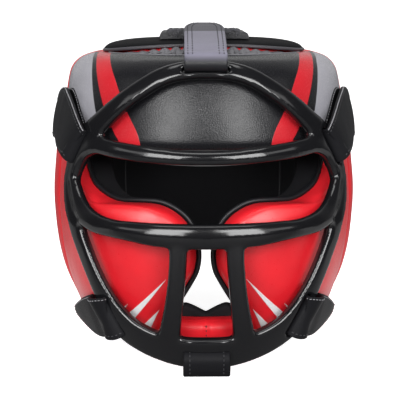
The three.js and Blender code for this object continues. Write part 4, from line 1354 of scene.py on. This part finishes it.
def strap(name, rows, stations, tip, outer=-1, cup=0.0, blunt=0.72):
    """A strap through rows of point, direction across and width. Returns it and lines on its outer face."""
    spots, ways, widths = zip(*rows)
    centre = spline(spots, stations, even=0.25)
    along = unit(np.gradient(centre, axis=0))
    across = across_from(spline(ways, stations), along)
    width = spline(np.array(widths)[:, None], stations)[:, 0]
    face = outer * unit(np.cross(along, across))
    travelled = np.concatenate([[0], np.cumsum(np.linalg.norm(np.diff(centre, axis=0), axis=1))])
    to_tip = np.minimum(1, (travelled[-1] - travelled) / tip)
    half = width / 2 * mix(blunt, 1, np.sqrt(1 - (1 - to_tip) ** 2))
    thick = STRAP_WALL / 2
    hollow = cup * smooth(travelled, *CUP_RUN)

    def at(wide, high):
        sag = hollow * ((wide / half) ** 2 - 1)
        return press_flat(centre + across * wide[:, None] + face * (high - sag)[:, None])

    def line(offset, start, end, side):
        keep = (travelled >= start) & (travelled <= travelled[-1] - end)
        return at(side * (half - offset), thick + STITCH_RISE)[keep]

    flat = half - thick
    shares = np.linspace(-1, 1, 11)
    turns = thick * np.stack([np.cos(SECTION_TURNS), np.sin(SECTION_TURNS)], axis=1)
    ring = [(share * flat, thick, share * flat) for share in shares]
    ring += [(flat + wide, high, half) for wide, high in turns]
    ring += [(share * flat, -thick, share * flat) for share in shares[::-1]]
    ring += [(-flat - wide, high, -half) for wide, high in turns[::-1]]
    grid = np.stack([at(wide, high) for wide, high, _ in ring], axis=1)
    chart = np.stack([np.stack([mark, travelled], axis=-1) for _, _, mark in ring], axis=1)
    faces = tube_faces(stations, len(ring), False)
    if outer > 0:
        faces = [corners[::-1] for corners in faces]
    return mesh_object(name, grid.reshape(-1, 3), faces, chart.reshape(-1, 2)), line


def in_slot(slot, out, front):
    return slot["centre"] + slot["out"] * out + slot["front"] * front


def strap_spot(angle, z, lift):
    angle, z = np.float64(angle), np.float64(z)
    r = radius_at(OUTSIDE, angle, z) + STRAP_GAP + STRAP_WALL / 2 + lift
    return polar(angle, r, z)


def slot_row(slot, angle, z, lift, width):
    return strap_spot(angle, z, lift), slot["along"], width


def edge_row(upper_angle, upper_z, lower_angle, lower_z, lift):
    upper = strap_spot(upper_angle, upper_z, lift)
    lower = strap_spot(lower_angle, lower_z, lift)
    return (upper + lower) / 2, unit(lower - upper), np.linalg.norm(lower - upper)


def side_rows(slot, start, spread, wrap, tail):
    """Rows out of a slot and round the rim, spreading upwards and downwards on the way, then over a tail."""
    rows = [slot_row(slot, *start)]
    for out, front in wrap:
        upper, lower = np.array(spread) * smooth(out, 0, SPREAD_RUN)
        middle = in_slot(slot, out, front) + slot["along"] * (lower - upper) / 2
        rows.append((middle, slot["along"], start[3] + upper + lower))
    return rows + [edge_row(*row) for row in tail]


STRAP_LEATHER = leather("black_strap", (0.008, 0.008, 0.0095), 0.55, shine=0.1, grain=0.04, sag=0.8)
temple_rows = side_rows(SLOTS["temple"], TEMPLE_START, TEMPLE_SPREAD, RIM_WRAP, TEMPLE_TAIL)
temple, temple_line = strap("temple_band_right", temple_rows, stations=170, tip=16, cup=1.6, blunt=0.6)
settle_pair(temple, "temple_strap_right", covers=[STRAP_LEATHER])
temple_lines = [temple_line(offset=3.2, start=30, end=3, side=side) for side in (1, -1)]
# Painted highlight: the line of the pale cord on the edge towards the face.
temple_highlight_edge = temple_line(offset=0.7, start=32, end=12, side=-1)

# Temple strips: a strip of black imitation leather beside each temple strap, sewn flat on the pad. Pale
# stitches run along its edge towards the face.
STRIP_LIFT = -1.2
TEMPLE_STRIP = [  # angle and z of the edge towards the face, angle and z of the edge under the strap
    (48.6, 69, 53, 60),
    (50.2, 73, 54.5, 64),
    (53.4, 80, 58, 71),
    (57.4, 88, 62, 78),
    (61.2, 93, 66, 83),
    (65, 93.8, 69, 83.5),
    (70, 92, 73, 81.5),
]
strip_rows = [edge_row(*row, STRIP_LIFT) for row in TEMPLE_STRIP]
strip, strip_line = strap("temple_strip_right", strip_rows, stations=90, tip=6)
settle_pair(strip, covers=[STRAP_LEATHER])
strip_edge = strip_line(offset=1.2, start=3, end=3, side=-1)

# Jaw straps: straps of black imitation leather that dip under the jaw on their way back. They are stitched
# along both edges, in pale thread towards the face.
ROUND_RIM = (11.4, -0.6)
JAW_START = (33, -71, 6.5, 33)  # angle, z, lift, width
JAW_SPREAD = (5, -5)
JAW_TAIL = [  # upper angle, upper z, lower angle, lower z, lift
    (38, -56, 35, -89, 16),
    (43, -60, 41, -92, 11.5),
    (49, -64.5, 47.5, -92.5, 8),
    (56, -70, 55, -90, 6),
    (64, -75, 63, -88, 4.6),
    (70, -77.5, 69, -87, 4),
]
jaw_rows = side_rows(SLOTS["jaw"], JAW_START, JAW_SPREAD, RIM_WRAP + [ROUND_RIM], JAW_TAIL)
jaw, jaw_line = strap("jaw_band_right", jaw_rows, stations=130, tip=9, cup=1.6, blunt=0.5)
settle_pair(jaw, "jaw_strap_right", covers=[STRAP_LEATHER])
jaw_lines = [jaw_line(offset=3.2, start=20, end=3, side=1)]
jaw_edge = jaw_line(offset=1.4, start=18, end=3, side=-1)

# Chin strap: a short, wide strap of black imitation leather, stitched along both edges. It folds round the
# lower rim of the cage and goes back under the chin.
CHIN_WIDTH = 35
CHIN_START = (0, -93, 0.2, CHIN_WIDTH)  # angle, z, lift, width
CHIN_WRAP = [  # out, front
    (0, -8.5),
    (0, -3.5),
    (0.2, 0.8),
    (2.8, 3.8),
    (8, 5),
    (13.2, 4.6),
    (17, 2.2),
    (18.6, -3),
    (18, -9.5),
]
CHIN_TAIL = [(-106, -108), (-94, -105.9), (-84, -105.9)]  # y, z


def wrap_rows(slot, wrap, width):
    return [(in_slot(slot, *spot), slot["along"], width) for spot in wrap]


def middle_rows(spots, width):
    return [(np.array([0.0, y, z]), np.array([1.0, 0.0, 0.0]), width) for y, z in spots]


chin_rows = [slot_row(SLOTS["chin"], *CHIN_START)]
chin_rows += wrap_rows(SLOTS["chin"], CHIN_WRAP, CHIN_WIDTH) + middle_rows(CHIN_TAIL, CHIN_WIDTH)
chin_band, chin_line = strap("chin_band", chin_rows, stations=130, tip=8, outer=1)
settle(chin_band, "chin_strap", covers=[STRAP_LEATHER])
chin_lines = [chin_line(offset=5, start=16, end=55, side=side) for side in (1, -1)]

# Strap stitching: machine stitches along the edges of the black straps, and pale ones on the edges towards
# the face. The pale edge of each temple strap is a thin cord, pale as a painted highlight on that lit edge.
THREAD = thread_of("thread", (0.03, 0.03, 0.034))
PALE_THREAD = thread_of("pale_thread", (0.2, 0.197, 0.21))
side_lines = temple_lines + jaw_lines
black_lines = side_lines + [flipped(line) for line in side_lines] + chin_lines
pale_lines = [strip_edge, jaw_edge, flipped(strip_edge), flipped(jaw_edge)]
stitch("pale_stitches", pale_lines, "black_strap", PALE_THREAD, pitch=2.6, stretch=2.4)
# Painted highlight: a pale cord along the edge of each temple strap towards the face.
cord("strap_edges", [temple_highlight_edge, flipped(temple_highlight_edge)], "black_strap", PALE_THREAD, radius=0.45, step=2)
stitch("strap_stitches", black_lines, "black_strap", THREAD, pitch=3.2, stretch=2.6)

# Top strap: a strap of black imitation leather, black in its slot. Its face past the fold is painted grey, a
# painted reflection of the light above, and its tip darker, painted shade where it bends down. It starts on
# the forehead rim, goes through the top slot and back over the lacing, and grips the loop patch.
TOP_WIDTH = 31.5
TOP_START = [(-99, 121.4), (-106, 116.6)]  # y, z
TOP_WRAP = [  # out, front
    (0.6, -11.4),
    (-0.2, -8),
    (0, -4),
    (0.1, 1.4),
    (2.4, 4.2),
    (7, 4.6),
    (12, 2),
    (14.2, -4.5),
]
TOP_TAIL = [(-97, 129.8), (-62, 136.8), (-40, 140.6), (-12, 143.6)]  # y, z
# Painted reflection: the grey of the face past the fold. Painted shade: the darker tip.
PAINTED_SHEEN_FACE = (0.17, 0.163, 0.21)
PAINTED_SHADE_TIP = (0.04, 0.038, 0.052)
FOLD_AT = 38.5
FOLD_SHARPNESS = 0.2
TIP_SHADE_AT = 110


# Paints the reflection of the light above on the face past the fold, and painted shade on the tip.
def top_painted_light(tree, dark):
    _, travelled = plan_of(tree)
    grey = lay_colour(tree, over(tree, travelled, FOLD_AT, FOLD_SHARPNESS), dark, PAINTED_SHEEN_FACE)
    return lay_colour(tree, over(tree, travelled, TIP_SHADE_AT), grey, PAINTED_SHADE_TIP), 0.0


top_rows = middle_rows(TOP_START, TOP_WIDTH) + wrap_rows(SLOTS["top"], TOP_WRAP, TOP_WIDTH)
top_rows += middle_rows(TOP_TAIL, TOP_WIDTH)
top_band, top_line = strap("top_band", top_rows, stations=170, tip=34, blunt=0.4)
TOP_LEATHER = leather("grey_strap", (0.009, 0.009, 0.011), 0.44, shine=0.35, paint=top_painted_light)
settle(top_band, "top_strap", covers=[TOP_LEATHER])
DARK_THREAD = thread_of("dark_thread", (0.03, 0.03, 0.035))
top_lines = [top_line(offset, FOLD_AT + 4, end=3, side=side) for side in (1, -1) for offset in (2.6, 6)]
stitch("top_stitches", top_lines, "grey_strap", DARK_THREAD, pitch=4.2, stretch=2.8, thread=0.45)

# Studio: a pale floor that glows softly beside and behind the guard, in white surroundings that are bright
# only behind it. Pairs of soft boxes stand in front and at the sides, one hangs above and one stands behind.
FLOOR_HALF = 6
FLOOR_PALE = (0.85, 0.85, 0.85)
FLOOR_DARK = (0.12, 0.12, 0.12, 1)
FLOOR_WHITE = 0.93
SIDE_GLOW = 0.35
SKY_GLOW = 0.05
SOFT_BOXES = [  # place, height of the aim, width, height, watts; a place off the middle has one on each side
    ((0.5, -1.36, 0.95), 0.12, 0.75, 0.28, 8),
    ((0.58, -1.38, 0.58), 0.12, 0.66, 0.42, 10),
    ((1.16, -0.92, 0.8), 0.12, 0.7, 0.35, 1.5),
    ((0, -0.55, 1.7), 0.12, 1.3, 0.4, 7),
    ((0, 1, 1.2), 0.2, 1.2, 0.5, 2),
]


def soft_step(tree, value, start, end, low, high):
    """Goes smoothly from low to high while a value goes from start to end."""
    ends = ("From Min", start), ("From Max", end), ("To Min", low), ("To Max", high)
    node = add(tree, "ShaderNodeMapRange", ("Value", value), *ends, interpolation_type="SMOOTHSTEP")
    return node.outputs["Result"]


def soft_box(number, place, aim, width, height, watts):
    lamp = bpy.data.lights.new(f"soft_box_{number}", "AREA")
    lamp.shape = "RECTANGLE"
    lamp.size = width
    lamp.size_y = height
    lamp.energy = watts
    holder = bpy.data.objects.new(lamp.name, lamp)
    holder.location = place
    holder.rotation_euler = (Vector((0, 0, aim)) - Vector(place)).to_track_quat("-Z", "Y").to_euler()
    scene.collection.objects.link(holder)


floor_mesh = bpy.data.meshes.new("floor")
floor_corners = [(FLOOR_HALF * x, FLOOR_HALF * y, 0) for x, y in ((-1, -1), (1, -1), (1, 1), (-1, 1))]
floor_mesh.from_pydata(floor_corners, [], [(0, 1, 2, 3)])
floor = bpy.data.objects.new("floor", floor_mesh)
scene.collection.objects.link(floor)
floor_paint, tree, floor_shader = new_material("pale_floor", FLOOR_PALE, roughness=0.7)
seen = add(tree, "ShaderNodeLightPath").outputs["Is Camera Ray"]
dark = add(tree, "ShaderNodeRGB").outputs[0]
dark.default_value = FLOOR_DARK
tree.links.new(lay_colour(tree, seen, dark, FLOOR_PALE), floor_shader.inputs["Base Color"])
floor_shader.inputs["Emission Color"].default_value = (1, 1, 1, 1)
floor_spot = add(tree, "ShaderNodeTexCoord").outputs["Object"]
aside, behind, _ = add(tree, "ShaderNodeSeparateXYZ", (0, floor_spot)).outputs
away = calc(tree, "MULTIPLY_ADD", calc(tree, "ABSOLUTE", aside), SIDE_GLOW, behind)
glow = soft_step(tree, away, start=-0.16, end=0.0, low=0.0, high=0.7)
fade = soft_step(tree, behind, start=0.0, end=0.25, low=1.0, high=0.1)
glow = calc(tree, "MULTIPLY", glow, fade)
floor_light = calc(tree, "MAXIMUM", calc(tree, "MULTIPLY", seen, FLOOR_WHITE), glow)
tree.links.new(floor_light, floor_shader.inputs["Emission Strength"])
floor_mesh.materials.append(floor_paint)

number = 0
for (x, y, z), aim, width, height, watts in SOFT_BOXES:
    for side in (-1, 1) if x else (1,):
        soft_box(number, (side * x, y, z), aim, width, height, watts)
        number += 1

world = bpy.data.worlds.new("white_studio")
world.use_nodes = True
scene.world = world
tree = world.node_tree
world_light = tree.nodes["Background"]
world_light.inputs["Color"].default_value = (1, 1, 1, 1)
ray = add(tree, "ShaderNodeLightPath").outputs["Is Camera Ray"]
way = add(tree, "ShaderNodeTexCoord").outputs["Generated"]
_, back_way, up_way = add(tree, "ShaderNodeSeparateXYZ", (0, way)).outputs
backdrop = soft_step(tree, back_way, start=-0.05, end=0.35, low=0.04, high=0.6)
tent = calc(tree, "MULTIPLY_ADD", calc(tree, "MAXIMUM", up_way, 0.0), SKY_GLOW, backdrop)
tree.links.new(calc(tree, "MAXIMUM", ray, tent), world_light.inputs["Strength"])
scene.view_settings.view_transform = "Standard"

# Camera: at the angle of the photograph to the guard, a long lens a little above the eyes and just left of
# the middle. Its place is given in the head's frame, so it follows the lean of the guard at rest.
CAMERA_DISTANCE = 1200
CAMERA_RISE = math.radians(8)
CAMERA_YAW = math.radians(0.85)
CAMERA_LENS = 131.7
MIDDLE_SHIFT = -3.75 / 400
eye = CAMERA_DISTANCE * np.array(
    [
        -math.sin(CAMERA_YAW) * math.cos(CAMERA_RISE),
        -math.cos(CAMERA_YAW) * math.cos(CAMERA_RISE),
        math.sin(CAMERA_RISE),
    ]
)
camera_data = bpy.data.cameras.new("camera")
camera_data.lens = CAMERA_LENS
camera_data.sensor_width = 36
camera_data.shift_x = MIDDLE_SHIFT
camera = bpy.data.objects.new("camera", camera_data)
camera.location = to_rest(eye)
target = Vector(to_rest(np.zeros(3)))
camera.rotation_euler = (target - camera.location).to_track_quat("-Z", "Y").to_euler()
scene.collection.objects.link(camera)
scene.camera = camera
